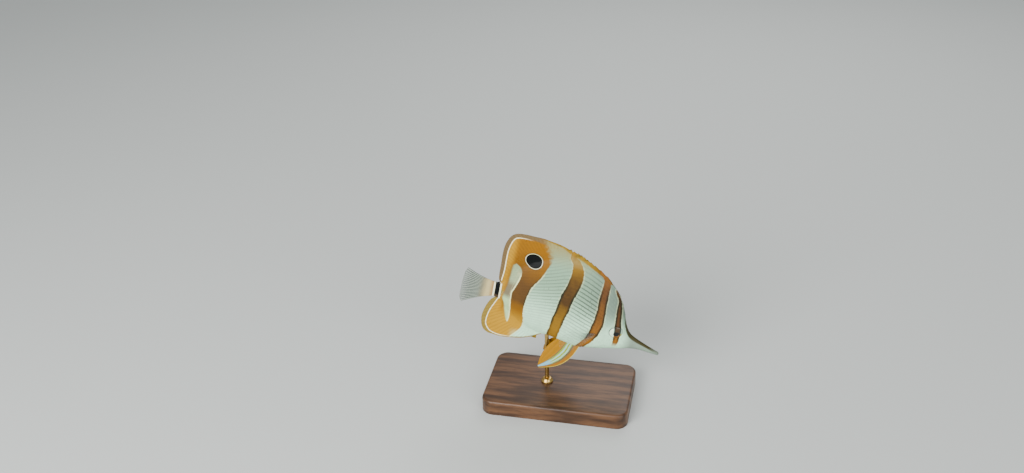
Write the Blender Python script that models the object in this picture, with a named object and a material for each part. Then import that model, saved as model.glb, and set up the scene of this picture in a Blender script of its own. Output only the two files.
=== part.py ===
"""Copperband butterflyfish, a still life-size display model on a plain rod stand.

Lengths are millimetres in the fish's own frame: a runs forward from the root of
the tail fin, b runs up and c runs out of the right flank. place() bends the tail,
tips the nose down and gives the point in metres, Z up, nose to +X.
"""
import math

import bmesh
import bpy
import numpy as np

MM = 0.001

# Driving dimensions, in millimetres and degrees
STANDARD_LENGTH = 129.2
SNOUT_TIP_B = -13.2
TAIL_LENGTH = 27.0
TAIL_CORNER = (-25.0, 15.6)
NOSE_DOWN = 14.0
TAIL_SWING = 16.0
TAIL_BEND = (6.5, -2.5)
FISH_HEIGHT = 92.0
GAP = 0.3
SEAM = 0.17
TAIL_CUT = 7.0
GILL_REF = 83.0
SNOUT_CUT = 105.0
JAW_CUT = 124.2
LIP_PROUD = 0.22
FIN_EDGE = 0.27
RAY_PROUD = 0.24
EYE = (93.6, -1.5, 6.4)
EYE_RADIUS = 5.2
EYE_BULGE = 1.6
EYE_DEPTH = 3.0
EYE_YAW = 13.0
PECTORAL_ROOT = ((78.4, -6.6), (77.0, -12.6))
PECTORAL_LENGTH = 27.0
PECTORAL_OUT = 38.0
PECTORAL_CURL = 2.2
PELVIC_ROOT = (71.0, 53.0)
PELVIC_SPLAY = 22.0
PELVIC_ROOT_OUT = 1.9
BASE_SIZE = (112.0, 68.0, 12.0)
BASE_CORNER = 9.0
BASE_CHAMFER = 2.0
ROD_A = 45.0
ROD_RADIUS = 1.6
ROD_INTO_BODY = 5.5
ROD_INTO_BASE = 7.0
COLLAR_RADIUS = 4.6
COLLAR_HEIGHT = 3.2


def slope_curve(points):
    """A smooth function through points of growing x that doesn't overshoot them."""
    x, y = (np.array(v, float) for v in zip(*points))
    step = np.diff(y) / np.diff(x)
    slope = np.concatenate([step[:1], np.zeros(len(x) - 2), step[-1:]])
    for i in range(1, len(x) - 1):
        if step[i - 1] * step[i] > 0:
            slope[i] = 2 * step[i - 1] * step[i] / (step[i - 1] + step[i])

    def value(at):
        at = np.clip(at, x[0], x[-1])
        i = np.clip(np.searchsorted(x, at, side="right") - 1, 0, len(x) - 2)
        h = x[i + 1] - x[i]
        u = (at - x[i]) / h
        rise = y[i] * (1 + 2 * u) * (1 - u) ** 2 + y[i + 1] * u * u * (3 - 2 * u)
        return rise + h * (slope[i] * u * (1 - u) ** 2 - slope[i + 1] * u * u * (1 - u))

    return value


def path(points):
    """A smooth path through the points, read by its share of the length, 0 to 1."""
    p = np.array(points, float)
    run = np.concatenate([[0], np.cumsum(np.linalg.norm(np.diff(p, axis=0), axis=1))])
    slope = np.gradient(p, run, axis=0)
    fine = np.linspace(0, run[-1], 400)
    i = np.clip(np.searchsorted(run, fine, side="right") - 1, 0, len(p) - 2)
    h = (run[i + 1] - run[i])[:, None]
    u = (fine - run[i])[:, None] / h
    line = p[i] * (1 + 2 * u) * (1 - u) ** 2 + p[i + 1] * u * u * (3 - 2 * u)
    line += h * (slope[i] * u * (1 - u) ** 2 - slope[i + 1] * u * u * (1 - u))
    far = np.concatenate([[0], np.cumsum(np.linalg.norm(np.diff(line, axis=0), axis=1))])

    def value(share):
        at = np.clip(share, 0, 1) * far[-1]
        return np.array([np.interp(at, far, line[:, 0]), np.interp(at, far, line[:, 1])])

    return value


# The body without its fins: its upper and lower edge, its widest line and its half width
body_top = slope_curve([
    (-1, 6.1), (0, 6.4), (4, 9.6), (10, 19.5), (20, 30), (30, 37), (40, 41), (50, 42.6),
    (60, 41.4), (70, 38.3), (76, 35.5), (81, 32.6), (86, 28.4), (90.8, 22.5),
    (95.7, 13.4), (98.8, 5.4), (102.4, -1.1), (104.9, -3.6), (107.8, -5.2), (115.2, -7.9),
    (124.5, -10.8), (129.2, -12.0)])
body_bottom = slope_curve([
    (-1, -6.1), (0, -6.4), (4, -8.5), (10, -13), (20, -20), (30, -24.2), (38, -26),
    (45, -26.2), (53, -26.8), (60, -27.5), (66, -27.9), (72, -27.2), (77.4, -25.8),
    (86, -22.9), (92, -20.8), (100.8, -17.9), (106.3, -15.8), (111.9, -14.5),
    (116.3, -14.2), (129.2, -14.3)])
widest_line = slope_curve([
    (-1, 0), (10, 2), (30, 5), (50, 5), (70, 2), (84, -1), (94.5, -3.6), (100, -7),
    (105, -9.7), (110, -10.6), (115, -11.2), (124, -12.5), (129.2, -13.1)])
half_width = slope_curve([
    (-1, 2.2), (0, 2.3), (4, 2.8), (7, 3.5), (15, 5.2), (30, 7.1), (50, 8.5), (70, 9.1),
    (82, 8.9), (90, 7.7), (94.5, 6.8), (100, 5.4), (105, 3.9), (110, 2.8), (115, 2.35),
    (124, 1.8), (127, 1.45), (129.2, 1.0)])
top_edge_width = slope_curve([(0, 0.9), (77, 0.9), (83, 0.45), (105, 0.35), (129.2, 0.3)])
bottom_edge_width = slope_curve([(0, 0.9), (38, 0.9), (45, 0.4), (129.2, 0.3)])
top_fullness = slope_curve([(0, 0.9), (76, 0.9), (88, 0.64), (104, 0.5), (129.2, 0.5)])
bottom_fullness = slope_curve([(0, 0.85), (36, 0.85), (48, 0.55), (129.2, 0.5)])
gill_line = slope_curve([
    (-25, 86.5), (-18, 83), (-10, 80.7), (-3, 80.1), (4, 81.6), (10, 84.3), (20, 86.6),
    (31, 85.4)])


def width_at(a, b):
    """Half width of the body at a point of the side view."""
    middle = widest_line(a)
    if b >= middle:
        reach, edge, full = body_top(a) - middle, top_edge_width(a), top_fullness(a)
    else:
        reach, edge = middle - body_bottom(a), bottom_edge_width(a)
        full = bottom_fullness(a)
    share = min(abs(b - middle) / reach, 1.0)
    return edge + (half_width(a) - edge) * (1 - share * share) ** full


def bend(a, c):
    """Swings what lies behind the tail's bend towards the right flank."""
    start, end = TAIL_BEND
    turn = math.radians(TAIL_SWING)
    if a >= start:
        return a, c
    length = start - end
    at = min((start - a) / length, 1.0)
    angle = turn * at
    radius = length / turn
    along = radius * math.sin(angle)
    aside = radius * (1 - math.cos(angle))
    past = max(end - a, 0.0)
    along += past * math.cos(angle)
    aside += past * math.sin(angle)
    return start - along + c * math.sin(angle), aside + c * math.cos(angle)


def tipped(a, b, c):
    """The point after the tail's bend and the nose-down tip, still in millimetres."""
    a, c = bend(a, c)
    tip = math.radians(NOSE_DOWN)
    return (a * math.cos(tip) + b * math.sin(tip), -c,
            b * math.cos(tip) - a * math.sin(tip))


# The fish hangs over the middle of its base, its lowest fin tips well clear of it
SNOUT_X = tipped(STANDARD_LENGTH, SNOUT_TIP_B, 0)[0]
TAIL_X = tipped(TAIL_CORNER[0], -TAIL_CORNER[1], 0)[0]
FISH_X = -(SNOUT_X + TAIL_X) / 2
FISH_Z = FISH_HEIGHT


def place(a, b, c):
    x, y, z = tipped(a, b, c)
    return ((x + FISH_X) * MM, y * MM, (z + FISH_Z) * MM)


def material(name, colour, roughness, metallic=0.0):
    mat = bpy.data.materials.new(name)
    mat.use_nodes = True
    shader = mat.node_tree.nodes["Principled BSDF"]
    shader.inputs["Base Color"].default_value = (*colour, 1)
    shader.inputs["Roughness"].default_value = roughness
    shader.inputs["Metallic"].default_value = metallic
    return mat


def closed_object(name, points, faces, mat):
    """One mesh object of the closed surface, its faces turned outwards."""
    mesh = bpy.data.meshes.new(name)
    mesh.from_pydata([tuple(map(float, p)) for p in points], [], faces)
    bm = bmesh.new()
    bm.from_mesh(mesh)
    bmesh.ops.recalc_face_normals(bm, faces=bm.faces)
    bm.to_mesh(mesh)
    bm.free()
    mesh.shade_smooth()
    mesh.set_sharp_from_angle(angle=math.radians(40))
    mesh.materials.append(mat)
    obj = bpy.data.objects.new(name, mesh)
    bpy.context.scene.collection.objects.link(obj)
    return obj


def sheet_faces(rows, columns, first, offset):
    """Triangles of a closed sheet: two like faces, offset apart, and four walls."""
    faces = []
    for i in range(rows - 1):
        for j in range(columns - 1):
            p = first + i * columns + j
            near = (p, p + 1, p + columns + 1, p + columns)
            faces.append((near[0], near[1], near[2]))
            faces.append((near[0], near[2], near[3]))
            far = tuple(q + offset for q in near)
            faces.append((far[0], far[2], far[1]))
            faces.append((far[0], far[3], far[2]))
    rim = [j for j in range(columns)]
    rim += [i * columns + columns - 1 for i in range(1, rows)]
    rim += [(rows - 1) * columns + j for j in range(columns - 2, -1, -1)]
    rim += [i * columns for i in range(rows - 2, 0, -1)]
    for here, after in zip(rim, rim[1:] + rim[:1]):
        here, after = here + first, after + first
        faces.append((here, after + offset, after))
        faces.append((here, here + offset, after + offset))
    return faces


def sheet(name, grid, lay, mat):
    """A closed solid of a grid of points (u, v, half thickness); lay gives each side's place."""
    rows, columns = len(grid), len(grid[0])
    flat = [point for row in grid for point in row]
    points = [lay(*point, 1) for point in flat] + [lay(*point, -1) for point in flat]
    return closed_object(name, points, sheet_faces(rows, columns, 0, rows * columns), mat)


def both_flanks(a, b, width, side):
    return place(a, b, width * side)


def body_piece(name, back, front, rows, columns, mat, pull_back=0.0, pull_front=0.0,
               low=body_bottom, high=body_top, swell=None):
    """A length of the body between two cuts; a pulled cut follows the gill line."""
    grid = []
    reach = 16.0
    for i in range(rows):
        flat = back + (front - back) * i / (rows - 1)
        pull = pull_back * max(0.0, 1 - (flat - back) / reach)
        pull += pull_front * max(0.0, 1 - (front - flat) / reach)
        row = []
        for j in range(columns):
            share = math.sin(math.pi * (j / (columns - 1) - 0.5))
            a = flat
            for _ in range(12):
                middle = (low(a) + high(a)) / 2 if swell else widest_line(a)
                edge = high(a) if share > 0 else low(a)
                b = middle + abs(share) * (edge - middle)
                a = flat + pull * (gill_line(b) - GILL_REF)
            width = width_at(a, b)
            row.append((a, b, width + (swell(a, b) if swell else 0.0)))
        grid.append(row)
    return sheet(name, grid, both_flanks, mat)


def largest_surface(mesh):
    """Keeps only the largest closed surface of the mesh."""
    bm = bmesh.new()
    bm.from_mesh(mesh)
    left = set(bm.faces)
    groups = []
    while left:
        group, todo = [], [left.pop()]
        while todo:
            face = todo.pop()
            group.append(face)
            for edge in face.edges:
                near = [f for f in edge.link_faces if f in left]
                left.difference_update(near)
                todo.extend(near)
        groups.append(group)
    groups.sort(key=lambda group: sum(face.calc_area() for face in group))
    scraps = [face for group in groups[:-1] for face in group]
    bmesh.ops.delete(bm, geom=scraps, context="FACES")
    bmesh.ops.triangulate(bm, faces=bm.faces)
    bm.to_mesh(mesh)
    bm.free()


def cut_away(obj, cutters):
    """Cuts closed shapes out of a node and takes the cutters off the scene."""
    group = bpy.data.collections.new("cutters")
    bpy.context.scene.collection.children.link(group)
    for cutter in cutters:
        bpy.context.scene.collection.objects.unlink(cutter)
        group.objects.link(cutter)
    cut = obj.modifiers.new("cut", "BOOLEAN")
    cut.operation = "DIFFERENCE"
    cut.operand_type = "COLLECTION"
    cut.collection = group
    cut.solver = "EXACT"
    result = obj.evaluated_get(bpy.context.evaluated_depsgraph_get())
    mesh = bpy.data.meshes.new_from_object(result)
    obj.modifiers.clear()
    obj.data = mesh
    for cutter in cutters:
        bpy.data.objects.remove(cutter)
    bpy.data.collections.remove(group)
    largest_surface(mesh)


def turned(name, profile, segments, lay, mat):
    """A closed solid turned round its axis from (radius, height) pairs, poles included."""
    points = [lay(0, 0, profile[0][1])]
    for radius, height in profile[1:-1]:
        for k in range(segments):
            angle = 2 * math.pi * k / segments
            points.append(lay(radius * math.cos(angle), radius * math.sin(angle), height))
    points.append(lay(0, 0, profile[-1][1]))
    last = len(points) - 1
    rings = len(profile) - 2
    faces = []
    for k in range(segments):
        n = (k + 1) % segments
        faces.append((0, 1 + n, 1 + k))
        for ring in range(rings - 1):
            low, high = 1 + ring * segments, 1 + (ring + 1) * segments
            faces.append((low + k, low + n, high + n))
            faces.append((low + k, high + n, high + k))
        top = 1 + (rings - 1) * segments
        faces.append((top + k, top + n, last))
    return closed_object(name, points, faces, mat)


def on_eye(side):
    """Places points of the eye's own frame: u forward, v up, w out of the socket."""
    yaw = math.radians(EYE_YAW)

    def lay(u, v, w):
        a = EYE[0] + u * math.cos(yaw) + w * math.sin(yaw)
        c = EYE[2] - u * math.sin(yaw) + w * math.cos(yaw)
        return place(a, EYE[1] + v, c * side)

    return lay


def eye_profile(grow, outer):
    """Half section of the eye, or of its socket where outer is a straight bore."""
    steps = 5
    inner = [(math.cos(math.pi / 2 * (k / steps - 1)), math.sin(math.pi / 2 * (k / steps - 1)))
             for k in range(steps + 1)]
    profile = [(r * (EYE_RADIUS + grow), h * (EYE_DEPTH + grow)) for r, h in inner]
    if outer:
        return profile + [(EYE_RADIUS + grow, outer), (0, outer)]
    for k in range(1, steps):
        angle = math.pi / 2 * k / steps
        profile.append((EYE_RADIUS * math.cos(angle), EYE_BULGE * math.sin(angle)))
    return profile + [(0, EYE_BULGE)]


def eye(name, side, mat):
    return turned(name, eye_profile(0, None), 24, on_eye(side), mat)


def eye_socket(side, mat):
    return turned("socket", eye_profile(GAP, 4.0), 24, on_eye(side), mat)


# The gill cover's front edge, from its lower to its upper end, clear of the eye
COVER_FRONT = path([(83.4, -18.2), (86.2, -14.6), (87.4, -9), (86.9, -3.5), (84.8, 1.8),
                    (81.9, 4.3)])
COVER_B = (-17.6, 3.9)
COVER_CENTRE = np.array([84.0, -7.0])
COVER_THICK = 2.6
COVER_PROUD = 0.3


def cover_outline(grow, behind):
    """Closed outline of the gill cover in the side view, grown at its front edge."""
    outline = []
    front_steps, rear_steps = 14, 10
    for k in range(front_steps + 1):
        point = COVER_FRONT(k / front_steps)
        away = point - COVER_CENTRE
        outline.append(point + away / np.linalg.norm(away) * grow)
    low, high = COVER_B
    for k in range(rear_steps + 1):
        b = high + (low - high) * k / rear_steps
        outline.append(np.array([gill_line(b) + behind, b]))
    return outline


def gill_plate(name, side, mat, grow=0.0, behind=SEAM, outer=None):
    """The gill cover, or the cutter for its bed where outer is a straight reach."""
    outline = cover_outline(grow, behind)
    centre = COVER_CENTRE
    rings = (1.0, 0.72, 0.38)
    rim_share = 0.4
    count = len(outline)
    flat = [centre + (point - centre) * ring for ring in rings for point in outline]
    flat.append(centre)
    points = []
    for k, (a, b) in enumerate(flat):
        dome = COVER_PROUD * (rim_share if k < count else 1.0)
        out = outer if outer else width_at(a, b) + dome
        points.append(place(a, b, side * out))
    points += [place(a, b, side * (width_at(a, b) - COVER_THICK - grow)) for a, b in flat]
    total = len(flat)
    faces = []
    for k in range(count):
        n = (k + 1) % count
        for ring in range(len(rings) - 1):
            p, q = ring * count, (ring + 1) * count
            for base in (0, total):
                faces.append((base + p + k, base + p + n, base + q + n))
                faces.append((base + p + k, base + q + n, base + q + k))
        inner = (len(rings) - 1) * count
        for base in (0, total):
            faces.append((base + inner + k, base + inner + n, base + total - 1))
        faces.append((k, total + n, n))
        faces.append((k, total + k, total + n))
    return closed_object(name, points, faces, mat)


NOSTRILS = ((101.9, -5.0, 0.5), (103.2, -6.3, 0.42))
NOSTRIL_DEPTH = 0.7


def nostril(a, b, radius, side, mat):
    """A short bore into the face, square to it."""
    out = width_at(a, b)
    slope = (width_at(a - 0.5, b) - width_at(a + 0.5, b))
    yaw = math.atan(slope)

    def lay(u, v, w):
        along = a + u * math.cos(yaw) + w * math.sin(yaw)
        across = out - u * math.sin(yaw) + w * math.cos(yaw)
        return place(along, b + v, across * side)

    section = [(0, -NOSTRIL_DEPTH), (radius, -NOSTRIL_DEPTH), (radius, 2.0), (0, 2.0)]
    return turned("bore", section, 10, lay, mat)


def head(mat):
    obj = body_piece("head", GILL_REF + SEAM, SNOUT_CUT - GAP / 2, 15, 17, mat, pull_back=1.0)
    cutters = []
    for side in (1, -1):
        cutters.append(eye_socket(side, mat))
        cutters.append(gill_plate("bed", side, mat, grow=GAP, behind=-2.0, outer=14.0))
        for a, b, radius in NOSTRILS:
            cutters.append(nostril(a, b, radius, side, mat))
    cut_away(obj, cutters)


def lip_swell(a, b):
    """The lip stands out in a low roll just behind the tip of the jaw."""
    middle, reach = STANDARD_LENGTH - 0.9, 1.2
    return LIP_PROUD * max(0.0, 1 - abs(a - middle) / reach)


def mouth_line(a):
    return -12.75 - 0.07 * (a - JAW_CUT)


def snout_and_jaws(mat, lip):
    body_piece("snout", SNOUT_CUT + GAP / 2, JAW_CUT - GAP / 2, 9, 11, mat)
    body_piece("upper_jaw", JAW_CUT + GAP / 2, STANDARD_LENGTH, 7, 7, lip,
               low=lambda a: mouth_line(a) + GAP / 2, swell=lip_swell)
    body_piece("lower_jaw", JAW_CUT + GAP / 2, STANDARD_LENGTH - 0.3, 7, 7, lip,
               high=lambda a: mouth_line(a) - GAP / 2, swell=lip_swell)


def rod_axis():
    """Where the rod meets the belly, in the world frame, in millimetres."""
    x, _, z = tipped(ROD_A, body_bottom(ROD_A), 0)
    return x + FISH_X, z + FISH_Z


def upright(x, radius_points, segments, name, mat):
    def lay(u, v, w):
        return ((x + u) * MM, v * MM, w * MM)

    return turned(name, radius_points, segments, lay, mat)


def torso(mat):
    obj = body_piece("torso", TAIL_CUT + GAP / 2, GILL_REF - SEAM, 25, 17, mat, pull_front=1.0)
    x, belly = rod_axis()
    top, reach = belly + ROD_INTO_BODY + GAP, ROD_RADIUS + GAP
    cut_away(obj, [upright(x, [(0, belly - 6), (reach, belly - 6), (reach, top), (0, top)],
                           16, "bore", mat)])


def tail_stalk(mat):
    body_piece("tail_stalk", GAP / 2, TAIL_CUT - GAP / 2, 5, 11, mat)


def rim_point(edge, a, gap):
    """A point off the body's edge by the gap, square to it."""
    step = 0.25
    rise = (edge(a + step) - edge(a - step)) / (2 * step)
    sign = 1 if edge is body_top else -1
    length = math.hypot(1, rise)
    return np.array([a - sign * gap * rise / length, edge(a) + sign * gap / length])


def ridge(phase):
    """Height of a ray across its own cell: 1 on the ray, 0 midway between two."""
    return max(0.0, 1 - abs(2 * phase - 1) * 1.6)


def fan(base, margin, rays, per_ray, rows, thickness, rise, bow=None):
    """Grid of a fin: rays run from the base to the margin and stand up from the web."""
    columns = rays * per_ray + 1
    grid = []
    for i in range(rows):
        t = i / (rows - 1)
        row = []
        for j in range(columns):
            s = j / (columns - 1)
            phase = (j % per_ray) / per_ray
            root, end = base(s), margin(s, phase)
            u, v = root + (end - root) * t
            if bow:
                along = (end - root) / np.linalg.norm(end - root)
                off = bow(s) * 4 * t * (1 - t)
                u, v = u - along[1] * off, v + along[0] * off
            row.append((u, v, thickness(t, u, v) + rise(t) * ridge(phase)))
        grid.append(row)
    return grid


def fin_web(root_width, web=0.33):
    """Half thickness from the fleshy root to the thin margin."""
    def value(t, u, v):
        return FIN_EDGE + (web - FIN_EDGE) * (1 - t) + (root_width - web) * (1 - t) ** 3

    return value


DORSAL_SPINES = 9
DORSAL_RAYS = 29
DORSAL_SPLIT = 46.0
DORSAL_END = 1.6
SPINE_START = 80.2
SPINE_LEAN = 9.0
spine_margin = slope_curve([(46, 50.2), (52.2, 49.2), (57.8, 47), (63.7, 44.3), (70.6, 41),
                            (77, 37.1), (80.6, 34.3)])


def dorsal_fin_spines(mat):
    """Nine folded spines: each leans back and its tip stands out of the web's margin."""
    def base(s):
        a = SPINE_START + (DORSAL_SPLIT + GAP - SPINE_START) * s
        return rim_point(body_top, a, GAP)

    def margin(s, phase):
        lean = SPINE_LEAN * 4 * s * (1 - s)
        a = SPINE_START + (DORSAL_SPLIT + GAP - SPINE_START) * s - lean * (1 - s)
        tooth = {0: 0.0, 0.25: 0.25, 0.5: 0.8, 0.75: 0.1}[phase]
        return np.array([a - 0.5 * tooth, spine_margin(a) + tooth])

    grid = fan(base, margin, DORSAL_SPINES, 4, 5, fin_web(0.9, 0.4),
               lambda t: 0.42 * (1 - 0.7 * t))
    sheet("dorsal_fin_spines", grid, both_flanks, mat)


def dorsal_fin_soft(mat):
    """Twenty-nine rays, upright in front and swept back to the tail's root behind."""
    edge = path([(46, 50.2), (38.4, 52.2), (30, 53), (24, 53.4), (17.2, 52.9), (10.5, 52.4),
                 (6.1, 51.5), (2.6, 50), (-0.1, 46.9), (-1.6, 43), (-2.5, 38), (-2.6, 33),
                 (-2.2, 26.4), (-1.7, 20), (-1.3, 13.5), (-0.6, 9.3), (0.2, 7.6)])

    def base(s):
        return rim_point(body_top, DORSAL_SPLIT + (DORSAL_END - DORSAL_SPLIT) * s ** 0.9, GAP)

    grid = fan(base, lambda s, phase: edge(s), DORSAL_RAYS, 2, 8, fin_web(0.9),
               lambda t: RAY_PROUD * (1 - 0.6 * t))
    sheet("dorsal_fin_soft", grid, both_flanks, mat)


ANAL_RAYS = 23
ANAL_START = 41.0
ANAL_END = 1.4


def anal_fin(mat):
    """Three spines and twenty soft rays under the rear body."""
    edge = path([(40.6, -27.5), (38.1, -29.4), (33.4, -32.9), (26.2, -36.7), (18.7, -39.1),
                 (11.1, -40.8), (5.4, -41), (1.4, -40.7), (-1.3, -39.4), (-3.3, -37.3),
                 (-4.8, -34.7), (-6.3, -29.2), (-6.7, -25.4), (-6.4, -22), (-4.8, -14.6),
                 (-2.6, -9.6), (-0.5, -7.3)])

    def base(s):
        return rim_point(body_bottom, ANAL_START + (ANAL_END - ANAL_START) * s, GAP)

    grid = fan(base, lambda s, phase: edge(s), ANAL_RAYS, 2, 8, fin_web(0.9),
               lambda t: RAY_PROUD * (1 - 0.6 * t))
    sheet("anal_fin", grid, both_flanks, mat)


CAUDAL_RAYS = 17
CAUDAL_ROOT = 5.9


def caudal_fin(mat):
    a, b = TAIL_CORNER
    edge = path([(a, b), (a - 1.3, b * 0.8), (-TAIL_LENGTH, b * 0.35), (-TAIL_LENGTH, -b * 0.35),
                 (a - 1.3, -b * 0.8), (a, -b)])

    def base(s):
        return np.array([-GAP / 2, CAUDAL_ROOT * (1 - 2 * s)])

    def web(t, u, v):
        root = width_at(0, min(abs(v), CAUDAL_ROOT))
        return FIN_EDGE + 0.06 * (1 - t) + (root - 0.33) * (1 - t) ** 6

    grid = fan(base, lambda s, phase: edge(s), CAUDAL_RAYS, 2, 8, web,
               lambda t: RAY_PROUD * min(1, 4 * t) * (1 - 0.5 * t),
               bow=lambda s: 1.2 * (1 - 2 * s))
    sheet("caudal_fin", grid, both_flanks, mat)


PECTORAL_RAYS = 14


def pectoral_fin(name, side, mat):
    """A fan held out behind the gill cover, its root face square to the flank."""
    out = math.radians(PECTORAL_OUT)
    top, bottom = np.array(PECTORAL_ROOT, float)
    back = np.array([-math.cos(out), 0, math.sin(out)])
    face = np.array([math.sin(out), 0, math.cos(out)])
    length = slope_curve([(0, 0.72), (0.2, 0.97), (0.35, 1.0), (0.6, 0.86), (1, 0.5)])
    droop = slope_curve([(0, 8), (1, -52)])

    def base(s):
        return np.array([s, 0.0])

    def margin(s, phase):
        return np.array([s, 1.0])

    def lay(s, t, half, face_side):
        root = top + (bottom - top) * s
        start = np.array([root[0], root[1], width_at(*root) + GAP])
        turn = math.radians(droop(s))
        ray = back * math.cos(turn) + np.array([0, 1, 0]) * math.sin(turn)
        point = start + ray * PECTORAL_LENGTH * length(s) * t
        point -= face * PECTORAL_CURL * t * t
        blend = min(1.0, t / 0.15)
        normal = face * blend + np.array([1, 0, 0]) * (1 - blend)
        point += normal / np.linalg.norm(normal) * half * face_side
        return place(point[0], point[1], point[2] * side)

    grid = fan(base, margin, PECTORAL_RAYS, 2, 6, fin_web(0.6),
               lambda t: 0.2 * (1 - 0.6 * t))
    sheet(name, grid, lay, mat)


PELVIC_RAYS = 6


def belly_below(a, c):
    """Height of the body's lower surface at a distance from the middle plane."""
    low, high = body_bottom(a), widest_line(a)
    for _ in range(30):
        middle = (low + high) / 2
        if width_at(a, middle) < c:
            low = middle
        else:
            high = middle
    return low


def pelvic_fin(name, side, mat):
    """A spine and five rays, splayed from the belly and swept back to one point."""
    splay = math.radians(PELVIC_SPLAY)
    front, rear = PELVIC_ROOT
    clear = GAP * 1.35
    tip = path([(46.4, 25.2), (45.6, 24.4), (45.2, 22.4)])
    bulge = slope_curve([(0, -5.3), (0.3, -4.2), (0.6, -1.9), (1, 2.6)])

    def base(s):
        return np.array([front + (rear - front) * s, 0.0])

    def lay(a, down, half, face_side):
        blend = min(1.0, down / 3.0)
        across = PELVIC_ROOT_OUT + half * face_side
        root = belly_below(a, across) - clear
        start = belly_below(a, PELVIC_ROOT_OUT) - clear
        if a < rear:
            root = start = belly_below(rear, PELVIC_ROOT_OUT) - clear
        b = start - down * math.cos(splay) + half * face_side * math.sin(splay)
        c = PELVIC_ROOT_OUT + down * math.sin(splay) + half * face_side * math.cos(splay)
        b = b * blend + (root - down * math.cos(splay)) * (1 - blend)
        c = c * blend + (across + down * math.sin(splay)) * (1 - blend)
        return place(a, b, c * side)

    grid = fan(base, lambda s, phase: tip(s), PELVIC_RAYS, 4, 9, fin_web(0.5, 0.36),
               lambda t: RAY_PROUD * (1 - 0.8 * t), bow=bulge)
    sheet(name, grid, lay, mat)


def stand(wood, metal):
    """A chamfered base, a rod up to the belly and a collar round the rod's foot."""
    width, depth, height = BASE_SIZE
    x, belly = rod_axis()
    bm = bmesh.new()
    ring = []
    for k in range(32):
        angle = 2 * math.pi * (k + 0.5) / 32
        corner_x = math.copysign(width / 2 - BASE_CORNER, math.cos(angle))
        corner_y = math.copysign(depth / 2 - BASE_CORNER, math.sin(angle))
        ring.append((corner_x + BASE_CORNER * math.cos(angle),
                     corner_y + BASE_CORNER * math.sin(angle)))
    face = bm.faces.new([bm.verts.new((u * MM, v * MM, 0)) for u, v in ring])
    bmesh.ops.extrude_face_region(bm, geom=[face])
    bm.verts.ensure_lookup_table()
    for vert in bm.verts[len(ring):]:
        vert.co.z = height * MM
    bmesh.ops.recalc_face_normals(bm, faces=bm.faces)
    rim = [e for e in bm.edges if all(v.co.z > height * MM / 2 for v in e.verts)]
    bmesh.ops.bevel(bm, geom=rim, offset=BASE_CHAMFER * MM, segments=2, profile=0.5,
                    affect="EDGES")
    bmesh.ops.triangulate(bm, faces=bm.faces)
    mesh = bpy.data.meshes.new("stand_base")
    bm.to_mesh(mesh)
    bm.free()
    mesh.materials.append(wood)
    base = bpy.data.objects.new("stand_base", mesh)
    bpy.context.scene.collection.objects.link(base)
    foot = height - ROD_INTO_BASE
    wide = ROD_RADIUS + GAP
    cut_away(base, [upright(x, [(0, foot - GAP), (wide, foot - GAP), (wide, height + 5),
                                (0, height + 5)], 16, "bore", wood)])
    tip = belly + ROD_INTO_BODY
    upright(x, [(0, foot), (ROD_RADIUS, foot), (ROD_RADIUS, tip - 0.5),
                (ROD_RADIUS - 0.5, tip), (0, tip)], 16, "stand_rod", metal)
    low, high = height + GAP, height + GAP + COLLAR_HEIGHT
    section = [(wide, low), (COLLAR_RADIUS, low), (COLLAR_RADIUS, high - 0.8),
               (COLLAR_RADIUS - 0.8, high), (wide, high)]
    points, faces = [], []
    for k in range(24):
        angle = 2 * math.pi * k / 24
        for radius, z in section:
            points.append(((x + radius * math.cos(angle)) * MM,
                           radius * math.sin(angle) * MM, z * MM))
        for m in range(5):
            here, after = k * 5, ((k + 1) % 24) * 5
            n = (m + 1) % 5
            faces.append((here + m, after + m, after + n, here + n))
    closed_object("stand_collar", points, faces, metal)


def build():
    for obj in list(bpy.data.objects):
        bpy.data.objects.remove(obj)
    skin = material("pearl_skin", (0.72, 0.76, 0.68), 0.4)
    lip = material("lip", (0.6, 0.6, 0.52), 0.45)
    gold = material("fin_gold", (0.62, 0.28, 0.06), 0.45)
    web = material("clear_web", (0.72, 0.7, 0.64), 0.35)
    dark = material("eye_dark", (0.04, 0.04, 0.05), 0.15)
    wood = material("plinth_wood", (0.16, 0.09, 0.05), 0.5)
    metal = material("rod_brass", (0.62, 0.5, 0.28), 0.3, 1.0)
    head(skin)
    snout_and_jaws(skin, lip)
    torso(skin)
    tail_stalk(skin)
    dorsal_fin_spines(gold)
    dorsal_fin_soft(gold)
    anal_fin(gold)
    caudal_fin(web)
    for name, side in (("right", 1), ("left", -1)):
        eye(f"eye_{name}", side, dark)
        gill_plate(f"gill_cover_{name}", side, skin)
        pectoral_fin(f"pectoral_fin_{name}", side, web)
        pelvic_fin(f"pelvic_fin_{name}", side, gold)
    stand(wood, metal)


build()
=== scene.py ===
"""Copperband butterflyfish, still display model: the finish of every surface.

Lengths are millimetres in the fish's own frame, as in the solids: a runs forward
from the root of the tail fin, b runs up and c runs out of the right flank.
"""
import math

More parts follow.
